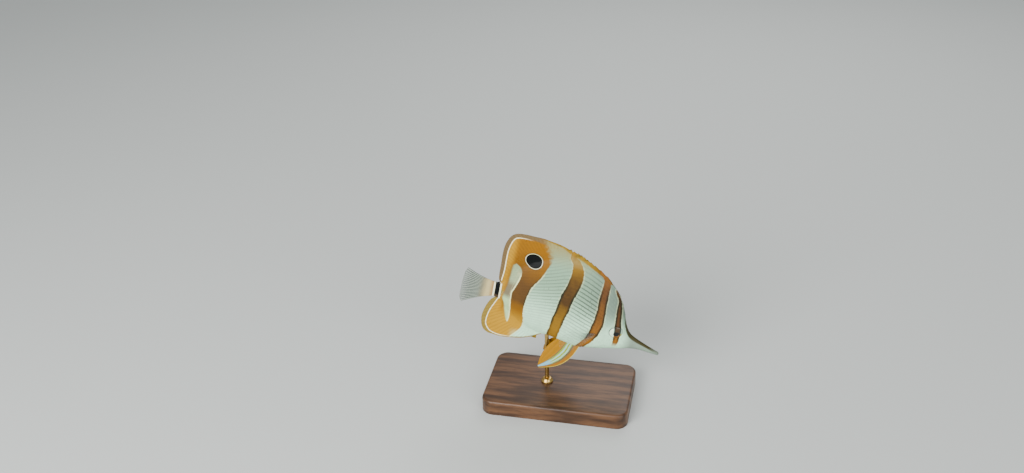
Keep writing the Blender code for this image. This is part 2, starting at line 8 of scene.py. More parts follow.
import bmesh
import bpy
import numpy as np
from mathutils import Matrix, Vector


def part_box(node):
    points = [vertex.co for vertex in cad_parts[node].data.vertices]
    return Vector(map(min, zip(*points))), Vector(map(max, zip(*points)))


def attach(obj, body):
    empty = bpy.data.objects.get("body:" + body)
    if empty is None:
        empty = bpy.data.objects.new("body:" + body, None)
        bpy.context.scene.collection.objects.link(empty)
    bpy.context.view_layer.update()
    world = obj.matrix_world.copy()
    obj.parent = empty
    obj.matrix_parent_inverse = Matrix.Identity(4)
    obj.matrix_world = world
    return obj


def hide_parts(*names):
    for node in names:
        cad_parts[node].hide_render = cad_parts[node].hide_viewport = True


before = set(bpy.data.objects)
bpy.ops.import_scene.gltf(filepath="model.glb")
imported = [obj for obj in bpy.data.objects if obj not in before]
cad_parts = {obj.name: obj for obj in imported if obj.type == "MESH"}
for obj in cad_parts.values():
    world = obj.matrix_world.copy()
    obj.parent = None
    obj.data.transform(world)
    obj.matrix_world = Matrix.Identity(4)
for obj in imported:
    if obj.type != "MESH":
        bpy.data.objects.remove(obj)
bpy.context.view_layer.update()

MM = 0.001

# Driving dimensions of the solids, in millimetres and degrees
STANDARD_LENGTH = 129.2
SNOUT_TIP_B = -13.2
TAIL_LENGTH = 27.0
TAIL_CORNER = (-25.0, 15.6)
NOSE_DOWN = 14.0
TAIL_SWING = 16.0
TAIL_BEND = (6.5, -2.5)
FISH_HEIGHT = 92.0
GAP = 0.3
JAW_CUT = 124.2
EYE = (93.6, -1.5, 6.4)
EYE_RADIUS = 5.2
EYE_BULGE = 1.6
EYE_DEPTH = 3.0
EYE_YAW = 13.0
PECTORAL_ROOT = ((78.4, -6.6), (77.0, -12.6))
PECTORAL_LENGTH = 27.0
PECTORAL_OUT = 38.0
PECTORAL_CURL = 2.2
PELVIC_ROOT = (71.0, 53.0)
PELVIC_SPLAY = 22.0
PELVIC_ROOT_OUT = 1.9
BASE_CORNER = 9.0
BASE_CHAMFER = 2.0

# Sizes of the finish
ROW = 2.7
STEP = 1.75
SCALE_LIFT = 0.1
SOCKET_RADIUS = EYE_RADIUS - 0.08
FIN_WEB = 0.2
FIN_ROOT = 0.44
FIN_ROOT_REACH = 1.2
FIN_SINK = 2.0
PATCH = 0.003


def curve(points):
    """A smooth function through points of growing x that doesn't overshoot them."""
    x, y = (np.array(v, float) for v in zip(*points))
    rise = np.diff(y) / np.diff(x)
    slope = np.concatenate([rise[:1], np.zeros(len(x) - 2), rise[-1:]])
    for i in range(1, len(x) - 1):
        if rise[i - 1] * rise[i] > 0:
            slope[i] = 2 * rise[i - 1] * rise[i] / (rise[i - 1] + rise[i])

    def value(at):
        at = np.clip(at, x[0], x[-1])
        i = np.clip(np.searchsorted(x, at, side="right") - 1, 0, len(x) - 2)
        h = x[i + 1] - x[i]
        u = (at - x[i]) / h
        level = y[i] * (1 + 2 * u) * (1 - u) ** 2 + y[i + 1] * u * u * (3 - 2 * u)
        return level + h * (slope[i] * u * (1 - u) ** 2 - slope[i + 1] * u * u * (1 - u))

    return value


def path(points):
    """A smooth path through the points, read by its share of the length, 0 to 1."""
    p = np.array(points, float)
    run = np.concatenate([[0], np.cumsum(np.linalg.norm(np.diff(p, axis=0), axis=1))])
    slope = np.gradient(p, run, axis=0)
    fine = np.linspace(0, run[-1], 400)
    i = np.clip(np.searchsorted(run, fine, side="right") - 1, 0, len(p) - 2)
    h = (run[i + 1] - run[i])[:, None]
    u = (fine - run[i])[:, None] / h
    line = p[i] * (1 + 2 * u) * (1 - u) ** 2 + p[i + 1] * u * u * (3 - 2 * u)
    line += h * (slope[i] * u * (1 - u) ** 2 - slope[i + 1] * u * u * (1 - u))
    far = np.concatenate([[0], np.cumsum(np.linalg.norm(np.diff(line, axis=0), axis=1))])

    def value(share):
        at = np.clip(share, 0, 1) * far[-1]
        return np.interp(at, far, line[:, 0]), np.interp(at, far, line[:, 1])

    return value


def off_path(way, a, b, samples=160):
    """Distance of each place from a path, positive on its left, and the share along it."""
    line = np.stack(way(np.linspace(0, 1, samples)), axis=1)
    shape = np.shape(a)
    spots = np.stack([np.ravel(a), np.ravel(b)], axis=1)
    distance = np.empty(len(spots))
    share = np.empty(len(spots))
    steps = np.gradient(line, axis=0)
    for first in range(0, len(spots), 4000):
        part = spots[first:first + 4000]
        away = part[:, None, :] - line[None, :, :]
        near = np.argmin((away ** 2).sum(axis=2), axis=1)
        span = away[np.arange(len(part)), near]
        along = steps[near]
        side = along[:, 0] * span[:, 1] - along[:, 1] * span[:, 0]
        distance[first:first + 4000] = np.linalg.norm(span, axis=1) * np.sign(side)
        share[first:first + 4000] = near / (samples - 1)
    return distance.reshape(shape), share.reshape(shape)


def ease(value, low, high):
    """0 at low, 1 at high and smooth between; low may be the larger."""
    u = np.clip((value - low) / (high - low), 0, 1)
    return u * u * (3 - 2 * u)


# The body without its fins, as in the solids
body_top = curve([
    (-1, 6.1), (0, 6.4), (4, 9.6), (10, 19.5), (20, 30), (30, 37), (40, 41), (50, 42.6),
    (60, 41.4), (70, 38.3), (76, 35.5), (81, 32.6), (86, 28.4), (90.8, 22.5),
    (95.7, 13.4), (98.8, 5.4), (102.4, -1.1), (104.9, -3.6), (107.8, -5.2), (115.2, -7.9),
    (124.5, -10.8), (129.2, -12.0)])
body_bottom = curve([
    (-1, -6.1), (0, -6.4), (4, -8.5), (10, -13), (20, -20), (30, -24.2), (38, -26),
    (45, -26.2), (53, -26.8), (60, -27.5), (66, -27.9), (72, -27.2), (77.4, -25.8),
    (86, -22.9), (92, -20.8), (100.8, -17.9), (106.3, -15.8), (111.9, -14.5),
    (116.3, -14.2), (129.2, -14.3)])
widest_line = curve([
    (-1, 0), (10, 2), (30, 5), (50, 5), (70, 2), (84, -1), (94.5, -3.6), (100, -7),
    (105, -9.7), (110, -10.6), (115, -11.2), (124, -12.5), (129.2, -13.1)])
half_width = curve([
    (-1, 2.2), (0, 2.3), (4, 2.8), (7, 3.5), (15, 5.2), (30, 7.1), (50, 8.5), (70, 9.1),
    (82, 8.9), (90, 7.7), (94.5, 6.8), (100, 5.4), (105, 3.9), (110, 2.8), (115, 2.35),
    (124, 1.8), (127, 1.45), (129.2, 1.0)])
top_edge_width = curve([(0, 0.9), (77, 0.9), (83, 0.45), (105, 0.35), (129.2, 0.3)])
bottom_edge_width = curve([(0, 0.9), (38, 0.9), (45, 0.4), (129.2, 0.3)])
top_fullness = curve([(0, 0.9), (76, 0.9), (88, 0.64), (104, 0.5), (129.2, 0.5)])
bottom_fullness = curve([(0, 0.85), (36, 0.85), (48, 0.55), (129.2, 0.5)])
gill_line = curve([
    (-25, 86.5), (-18, 83), (-10, 80.7), (-3, 80.1), (4, 81.6), (10, 84.3), (20, 86.6),
    (31, 85.4)])
# How deep the skin lies under the scales' outer surface
coat_depth = curve([(0, 0.14), (20, 0.18), (90, 0.18), (104, 0.12), (129.2, 0.06)])


def flank(a, b):
    """Half width of the body, scales included, at places of the side view."""
    middle = widest_line(a)
    above = b >= middle
    reach = np.where(above, body_top(a) - middle, middle - body_bottom(a))
    edge = np.where(above, top_edge_width(a), bottom_edge_width(a))
    full = np.where(above, top_fullness(a), bottom_fullness(a))
    share = np.clip(np.abs(b - middle) / reach, 0, 1)
    return edge + (half_width(a) - edge) * (1 - share ** 2) ** full


def place(a, b, c):
    """World points in metres: the tail's bend, then the nose-down tip."""
    a, b, c = np.broadcast_arrays(*(np.asarray(v, float) for v in (a, b, c)))
    start, end = TAIL_BEND
    length = start - end
    turn = math.radians(TAIL_SWING)
    angle = turn * np.clip((start - a) / length, 0, 1)
    past = np.maximum(end - a, 0)
    ahead = np.maximum(a - start, 0)
    radius = length / turn
    along = start + ahead - radius * np.sin(angle) - past * np.cos(angle) + c * np.sin(angle)
    aside = radius * (1 - np.cos(angle)) + past * np.sin(angle) + c * np.cos(angle)
    tip = math.radians(NOSE_DOWN)
    x = along * math.cos(tip) + b * math.sin(tip)
    z = b * math.cos(tip) - along * math.sin(tip)
    return np.stack([x + FISH_X, -aside, z + FISH_HEIGHT], axis=-1) * MM


FISH_X = 0.0
SNOUT_X = place(STANDARD_LENGTH, SNOUT_TIP_B, 0)[0] / MM
TAIL_X = place(TAIL_CORNER[0], -TAIL_CORNER[1], 0)[0] / MM
FISH_X = -(SNOUT_X + TAIL_X) / 2

# The gill cover's front groove, the nostrils and the mouth, as in the solids
COVER_FRONT = path([(83.4, -18.2), (86.2, -14.6), (87.4, -9), (86.9, -3.5), (84.8, 1.8),
                    (81.9, 4.3)])
NOSTRILS = ((101.9, -5.0, 0.5), (103.2, -6.3, 0.42))
LIP_FRONT = 1.3


def mouth_line(a):
    return -12.75 - 0.07 * (a - JAW_CUT)


def eye_plane(a, b):
    """A place of the side view in the eye's own plane: forward and up from its centre."""
    return (a - EYE[0]) / math.cos(math.radians(EYE_YAW)), b - EYE[1]


def relief(a, b):
    """The head's own forms over the plain flank, in millimetres outwards."""
    lift = np.zeros(np.shape(a))
    behind = a - gill_line(b)
    cover = ease(b, -22, -17) * ease(b, 9, 4)
    lift += cover * 0.32 * ease(behind, -0.15, 0.2) * np.exp(-(np.maximum(behind, 0) / 5.5) ** 2)
    lift -= cover * 0.3 * np.exp(-((behind + 0.55) / 0.4) ** 2)
    seam, share = off_path(COVER_FRONT, a, b)
    ends = ease(share, 0, 0.06) * ease(share, 1, 0.94)
    lift -= ends * 0.2 * np.exp(-(seam / 0.45) ** 2)
    lift += ends * 0.14 * np.exp(-((seam + 1.0) / 0.8) ** 2)
    u, v = eye_plane(a, b)
    round_eye = np.hypot(u, v)
    lift += 0.16 * np.exp(-((round_eye - 6.1) / 0.6) ** 2)
    lift -= 0.16 * np.exp(-((round_eye - 5.35) / 0.28) ** 2)
    lift -= 2.4 * ease(round_eye, SOCKET_RADIUS, SOCKET_RADIUS - 0.4)
    for nose_a, nose_b, radius in NOSTRILS:
        far = np.hypot(a - nose_a, b - nose_b) / radius
        lift -= 0.4 * ease(far, 1.0, 0.3)
        lift += 0.1 * np.exp(-((far - 1.4) / 0.4) ** 2)
    from_mouth = b - mouth_line(a)
    jaws = ease(a, JAW_CUT - 1.6, JAW_CUT + 0.4)
    lift -= jaws * 0.55 * np.exp(-(from_mouth / 0.13) ** 2)
    lips = np.exp(-((a - 128.3) / 0.9) ** 2) * np.exp(-(from_mouth / 1.1) ** 2)
    return lift + 0.16 * lips


def skin_out(a, b):
    """How far the skin stands out of the middle plane."""
    return np.maximum(flank(a, b) - coat_depth(a) + relief(a, b), 0.12)


def beyond_body(a, b):
    """Distance of a place of the fins from the body's edge, square to it; 0 on the body."""
    past = np.maximum(b - body_top(a), body_bottom(a) - b)
    edge = np.where(b > widest_line(a), body_top(a + 0.5) - body_top(a - 0.5),
                    body_bottom(a + 0.5) - body_bottom(a - 0.5))
    return np.maximum(past, 0) / np.hypot(1, edge)


def fin_half(a, b):
    """Half thickness of the upright fins' web, thick where it leaves the body."""
    return FIN_WEB + FIN_ROOT * np.exp(-beyond_body(a, b) / FIN_ROOT_REACH)


# The markings' edges in the side view, from the belly up: place a for each height b
EYE_BAR_REAR = curve([
    (-19, 93.8), (-14.4, 93.5), (-9.8, 93.4), (-5.8, 92.8), (-0.3, 92.1), (8.2, 90.6),
    (16.1, 89.5), (21.9, 88.9), (26.6, 86.3), (29, 84.5)])
EYE_BAR_FRONT = curve([
    (-19, 94.4), (-16.3, 96), (-12, 97.3), (-7.6, 97.6), (-0.3, 97.2), (7.8, 95.1),
    (15.3, 93.4), (21.6, 91.3), (26, 88.3), (29, 85.5)])
HEAD_BAR_REAR = curve([
    (-29.5, 66.7), (-23.2, 69), (-19, 70.9), (-15.3, 72.5), (-11.5, 73.6), (-8.1, 74.3),
    (-2.4, 74.8), (3.9, 75.4), (13.5, 75.5), (23, 74.6), (29.1, 74.6), (34.2, 74.7),
    (36.7, 73.3), (39.5, 69.8)])
HEAD_BAR_FRONT = curve([
    (-31.2, 70.3), (-28.4, 72.8), (-21.7, 75.7), (-17.6, 78), (-12.6, 80), (-9.4, 81.2),
    (-2.3, 82.8), (2.2, 83.3), (7.3, 82.9), (16.9, 81.6), (25.9, 80.7), (34.2, 79.5),
    (36.4, 77.3)])
MID_BAR_REAR = curve([
    (-26.5, 44.6), (-20.2, 44.7), (-15, 45.3), (-6.5, 45.4), (2.2, 46.5), (10.3, 46.9),
    (17.1, 47.5), (26, 49.5), (33.6, 50.3), (37.2, 50), (40, 49.6), (44.2, 46)])
MID_BAR_FRONT = curve([
    (-24.1, 52.9), (-14.8, 53.6), (-6.5, 54.5), (-2.3, 55), (6.2, 56.3), (14.1, 56.9),
    (23, 58.7), (31.2, 59.7), (37.5, 58.5), (40.6, 56.8), (43.9, 53.8), (47.1, 49.2)])
HIND_FRONT = curve([
    (-38, 18), (-32.9, 21.4), (-29.1, 23.7), (-24.8, 24.9), (-18.5, 24.8), (-13, 23.8),
    (-7.9, 23.1), (0.1, 23), (8, 23.9), (11.8, 24.5), (25.7, 30.6), (31, 32.1), (36.1, 33.6),
    (42, 32), (48, 28), (54, 23)])
WEDGE_REAR = curve([
    (-24.8, 12.4), (-20.6, 10.6), (-14.7, 8.8), (-8.6, 7.2), (-4, 5.4), (0, 5.4), (4, 6.2),
    (11.8, 7), (24.5, 7.2), (28.4, 8.7)])
WEDGE_FRONT = curve([
    (-27.3, 13.3), (-24.3, 13.5), (-12.9, 13), (-6.4, 12.2), (-0.7, 11.5), (3.5, 11.3),
    (7.6, 12.4), (15.6, 14.3), (19.3, 14.8), (22.3, 14.7), (23.9, 13.2), (28.3, 9.1)])
TOP_LINE = path([(1.4, 9), (1.7, 18.2), (1.2, 27.1), (1, 36), (1.6, 40.6), (3.1, 45.4),
                 (4.4, 47.2), (6.8, 48.2), (10.5, 48.9), (14.2, 49.2), (21.8, 49.1)])
LOW_LINE = path([(2.8, -5.4), (0.8, -11.6), (-1.4, -18.2), (-2.6, -25.1), (-2.7, -28.5),
                 (-2.5, -31.3), (-1.2, -34.5), (0.6, -37), (3, -38.8), (5.5, -39.5),
                 (10.8, -39.7), (14.7, -39), (22.4, -37.4)])
EYESPOT = (21.2, 33.3)
EYESPOT_SPREAD = (1.08, 0.94)
TOP_MARGIN = curve([(17.2, 52.9), (24, 53.4), (30, 53), (38.4, 52.2), (46, 50.2), (52.2, 49.2),
                    (57.8, 47), (63.7, 44.3), (70.6, 41), (77, 37.1), (80.6, 34.3)])
LOW_MARGIN = curve([(11.1, -40.8), (18.7, -39.1), (26.2, -36.7), (33.4, -32.9), (38.1, -29.4),
                    (40.6, -27.5)])
CREST_DEPTH = curve([(18, 0), (26, 1.0), (38, 1.4), (44, 2.4), (50, 3.5), (58, 3.2), (70, 2.9),
                     (78, 2.2), (84, 0)])
# How brown a bar is at each height, from golden 0 to dark brown 1
MID_BAR_TONE = curve([(-24, 0.1), (-12, 0.18), (-6, 0.3), (0, 0.5), (6, 0.75), (12, 1), (24, 0.95),
                      (30, 0.85), (36, 0.5), (40, 0.28), (44, 0.08)])
HEAD_BAR_TONE = curve([(-28, 0.1), (-18, 0.06), (-10, 0.28), (-4, 0.5), (2, 0.65), (14, 0.78),
                       (26, 0.95), (32, 0.7), (36, 0.6), (39, 0.45)])
EYE_BAR_TONE = curve([(-16, 0), (-11, 0.04), (-8, 0.2), (-5, 0.65), (0, 1), (12, 1), (22, 0.85),
                      (30, 0.5)])
HIND_TONE = curve([(-18, 0), (-12, 0.12), (-6, 0.45), (0, 1), (12, 1), (18, 0.85), (24, 0.6),
                   (30, 0.32), (38, 0.18), (46, 0)])
# How strongly the lines between the scale rows show at each height
ROWS_SHOWN = curve([(-24, 0.16), (-14, 0.3), (-6, 0.5), (4, 0.8), (12, 1), (26, 0.9), (34, 0.5),
                    (42, 0.15)])


def between(rear, front, a, b):
    """How far inside a band a place lies, in millimetres."""
    return np.minimum(a - rear(b), front(b) - a)


def markings(a, b):
    """The attributes that carry the markings: signed distances and tones at each place."""
    eye_bar = between(EYE_BAR_REAR, EYE_BAR_FRONT, a, b)
    head_bar = between(HEAD_BAR_REAR, HEAD_BAR_FRONT, a, b)
    mid_bar = between(MID_BAR_REAR, MID_BAR_FRONT, a, b)
    bars = np.maximum(np.maximum(eye_bar, head_bar), mid_bar)
    tone = np.where(a > 87, EYE_BAR_TONE(b), np.where(a > 63, HEAD_BAR_TONE(b), MID_BAR_TONE(b)))
    shown = np.where(a > 87, ease(b, -17, -11), 1.0)
    shown *= np.where((a > 42) & (a < 57), ease(b - body_bottom(a), 0.2, 0.9), 1.0)
    shown *= np.where((a > 42) & (a < 63), 1 - 0.2 * ease(b, 37, 44), 1.0)
    top_off, top_share = off_path(TOP_LINE, a, b)
    low_off, low_share = off_path(LOW_LINE, a, b)
    upper = b > 2
    white_line = np.where(upper, top_off, -low_off)
    line_fade = np.where(upper, ease(top_share, 0.95, 0.68), ease(low_share, 1, 0.75))
    hind = (HIND_FRONT(b) - a) / (1 + 13 * ease(b, 32, 45))
    hind_shown = 1 - 0.5 * ease(a, 15, 23) * ease(b, -28, -36)
    hind_tone = HIND_TONE(b) * (1 - 0.75 * ease(a, 10, 5))
    past_wedge = 0.8 * np.maximum(b - 24.5, 0) + np.maximum(-25 - b, 0)
    wedge = between(WEDGE_REAR, WEDGE_FRONT, a, b) - past_wedge
    eyespot = np.hypot((a - EYESPOT[0]) / EYESPOT_SPREAD[0], (b - EYESPOT[1]) / EYESPOT_SPREAD[1])
    stalk = np.where(np.abs(b) < 6.9, np.abs(a + 0.1 + 0.055 * b), 30)
    crest = CREST_DEPTH(a) - (TOP_MARGIN(a) - b)
    crest = np.where((a > 18) & (a < 84), crest, -9)
    low_rim = 1.1 * ease(a, 12, 20) - (b - LOW_MARGIN(a))
    crest = np.where((b < -20) & (a > 12) & (a < 41.5), low_rim, crest)
    brow = 1.8 - (body_top(a) - b) - 0.7 * ease(a, 108, 122)
    face = ease(a, 94, 100) * (1 - 0.6 * ease(a, 120, 128))
    rows_shown = 0.35 + 0.2 * ease(a, 4, 44) + 0.45 * ease(a, 52, 66)
    rows_shown = rows_shown * ROWS_SHOWN(b) * (0.12 + 0.88 * ease(a - HEAD_BAR_FRONT(b), 2, -2))
    return {
        "bars": np.stack([bars, tone, shown], axis=-1),
        "hind": np.stack([hind, hind_tone, hind_shown], axis=-1),
        "lines": np.stack([wedge, white_line, line_fade], axis=-1),
        "spots": np.stack([eyespot, stalk, crest], axis=-1),
        "head": np.stack([brow, face, rows_shown], axis=-1),
    }


def give(mesh, name, values):
    """Stores a vector for each vertex, for the materials to read."""
    layer = mesh.attributes.new(name, "FLOAT_VECTOR", "POINT")
    layer.data.foreach_set("vector", np.asarray(values, np.float32).ravel())


def give_markings(mesh, a, b):
    for name, values in markings(a, b).items():
        give(mesh, name, values)


def deselect():
    bpy.ops.object.select_all(action="DESELECT")


def only(obj):
    deselect()
    obj.select_set(True)
    bpy.context.view_layer.objects.active = obj


def smooth(obj, angle=40):
    only(obj)
    bpy.ops.object.shade_smooth_by_angle(angle=math.radians(angle))


def grid_piece(name, rows, columns):
    """A flat grid of unit shares to be shaped; gives the object and each vertex's shares."""
    deselect()
    bpy.ops.mesh.primitive_grid_add(x_subdivisions=columns, y_subdivisions=rows, size=2)
    obj = bpy.context.object
    obj.name = name
    flat = np.empty(len(obj.data.vertices) * 3)
    obj.data.vertices.foreach_get("co", flat)
    shares = (flat.reshape(-1, 3)[:, :2] + 1) / 2
    return obj, shares[:, 0], shares[:, 1]


def set_places(obj, points):
    obj.data.vertices.foreach_set("co", np.asarray(points, np.float32).ravel())
    obj.data.update()


def apply_modifiers(obj):
    only(obj)
    for modifier in list(obj.modifiers):
        bpy.ops.object.modifier_apply(modifier=modifier.name)


def thicken(obj, half):
    """Gives a middle sheet its thickness on both sides, in millimetres at each vertex."""
    group = obj.vertex_groups.new(name="thickness")
    most = float(half.max())
    for index, share in enumerate(half / most):
        group.add([index], float(share), "REPLACE")
    walls = obj.modifiers.new("walls", "SOLIDIFY")
    walls.thickness = 2 * most * MM
    walls.offset = 0
    walls.vertex_group = group.name
    walls.thickness_vertex_group = 0
    apply_modifiers(obj)
    obj.vertex_groups.clear()


def outwards(obj, merge=0.0):
    """Merges doubles and turns every face of a closed piece outwards, in edit mode."""
    only(obj)
    bpy.ops.object.mode_set(mode="EDIT")
    bpy.ops.mesh.select_all(action="SELECT")
    if merge:
        bpy.ops.mesh.remove_doubles(threshold=merge)
    bpy.ops.mesh.normals_make_consistent(inside=False)
    bpy.ops.object.mode_set(mode="OBJECT")


def close_ends(obj):
    """Fills the open ends of a tube, in edit mode."""
    only(obj)
    bpy.ops.object.mode_set(mode="EDIT")
    bpy.ops.mesh.select_all(action="DESELECT")
    bpy.ops.mesh.select_mode(type="EDGE")
    bpy.ops.mesh.select_non_manifold()
    bpy.ops.mesh.fill_holes(sides=0)
    bpy.ops.mesh.select_mode(type="VERT")
    bpy.ops.object.mode_set(mode="OBJECT")


class Recipe:
    """One material; each call puts in a node and gives its output."""

    def __init__(self, name):
        self.material = bpy.data.materials.new(name)
        self.material.use_nodes = True
        self.tree = self.material.node_tree
        self.shader = self.tree.nodes["Principled BSDF"]

    def put(self, socket, value):
        if isinstance(value, bpy.types.NodeSocket):
            self.tree.links.new(value, socket)
        elif hasattr(value, "__len__") and len(value) == 3 and socket.type == "RGBA":
            socket.default_value = (*value, 1)
        else:
            socket.default_value = value

    def look(self, **values):
        """Sets the shader's own sockets, named with _ for each space."""
        for name, value in values.items():
            self.put(self.shader.inputs[name.replace("_", " ")], value)

    def math(self, operation, *values):
        node = self.tree.nodes.new("ShaderNodeMath")
        node.operation = operation
        for socket, value in zip(node.inputs, values):
            self.put(socket, value)
        return node.outputs[0]

    def step(self, value, low, high):
        node = self.tree.nodes.new("ShaderNodeMapRange")
        node.interpolation_type = "SMOOTHSTEP"
        self.put(node.inputs["Value"], value)
        node.inputs["From Min"].default_value = low
        node.inputs["From Max"].default_value = high
        return node.outputs["Result"]

    def mix(self, share, first, second):
        node = self.tree.nodes.new("ShaderNodeMix")
        node.data_type = "RGBA"
        self.put(node.inputs["Factor"], share)
        first_colour, second_colour = (s for s in node.inputs if s.type == "RGBA")
        self.put(first_colour, first)
        self.put(second_colour, second)
        return next(s for s in node.outputs if s.type == "RGBA")

    def noise(self, scale, detail=2.0, vector=None, stretch=None):
        node = self.tree.nodes.new("ShaderNodeTexNoise")
        node.inputs["Scale"].default_value = scale
        node.inputs["Detail"].default_value = detail
        source = vector or self.object_place()
        if stretch:
            mapping = self.tree.nodes.new("ShaderNodeMapping")
            mapping.inputs["Scale"].default_value = stretch
            self.tree.links.new(source, mapping.inputs["Vector"])
            source = mapping.outputs[0]
        self.tree.links.new(source, node.inputs["Vector"])
        return node.outputs["Fac"]

    def object_place(self):
        return self.tree.nodes.new("ShaderNodeTexCoord").outputs["Object"]

    def read(self, name):
        """The three numbers of a vertex attribute."""
        node = self.tree.nodes.new("ShaderNodeAttribute")
        node.attribute_name = name
        split = self.tree.nodes.new("ShaderNodeSeparateXYZ")
        self.tree.links.new(node.outputs["Vector"], split.inputs[0])
        return split.outputs[0], split.outputs[1], split.outputs[2]

    def bump(self, height, distance, strength=1.0):
        node = self.tree.nodes.new("ShaderNodeBump")
        node.inputs["Distance"].default_value = distance * MM
        node.inputs["Strength"].default_value = strength
        self.tree.links.new(height, node.inputs["Height"])
        self.tree.links.new(node.outputs[0], self.shader.inputs["Normal"])


# Colours of the skin, as shares of the light that they give back
PEARL = (0.53, 0.84, 0.59)
# A greyer pearl: the fish's own darker tone, and upwards on the ground painted shade as well
PEARL_GREY_AND_SHADE = (0.225, 0.355, 0.235)
HEAD_GREY = (0.12, 0.155, 0.13)
SNOUT_GREY = (0.16, 0.19, 0.155)
ROW_GREY = (0.07, 0.095, 0.07)
BACK_TAN = (0.3, 0.23, 0.075)
GOLD = (0.25, 0.102, 0.004)
GOLD_PALE = (0.44, 0.23, 0.014)
BAR_GOLD = (0.27, 0.14, 0.013)
HIND_BROWN = (0.088, 0.044, 0.014)
BAR_BROWN = (0.064, 0.034, 0.012)
HEAD_BAR_GOLD = (0.3, 0.117, 0.013)
HEAD_BAR_BROWN = (0.088, 0.04, 0.016)
EDGE_DARK = (0.014, 0.016, 0.011)
CREAM = (0.76, 0.8, 0.42)
LINE_WHITE = (0.9, 0.88, 0.6)
MARGIN_ROSE = (0.15, 0.1, 0.045)
MARGIN_OCHRE = (0.25, 0.175, 0.036)
CREST_GOLD = (0.26, 0.155, 0.012)
CREST_BROWN = (0.15, 0.068, 0.008)
SILVER = (0.29, 0.36, 0.2)
# Olive painted shadow in the middle of the silver wedge
WEDGE_PAINTED_SHADOW = (0.17, 0.145, 0.085)
WEDGE_PALE = (0.43, 0.6, 0.3)
BLACK = (0.004, 0.005, 0.005)
STALK_BROWN = (0.07, 0.045, 0.026)
BROW_OLIVE = (0.048, 0.041, 0.016)


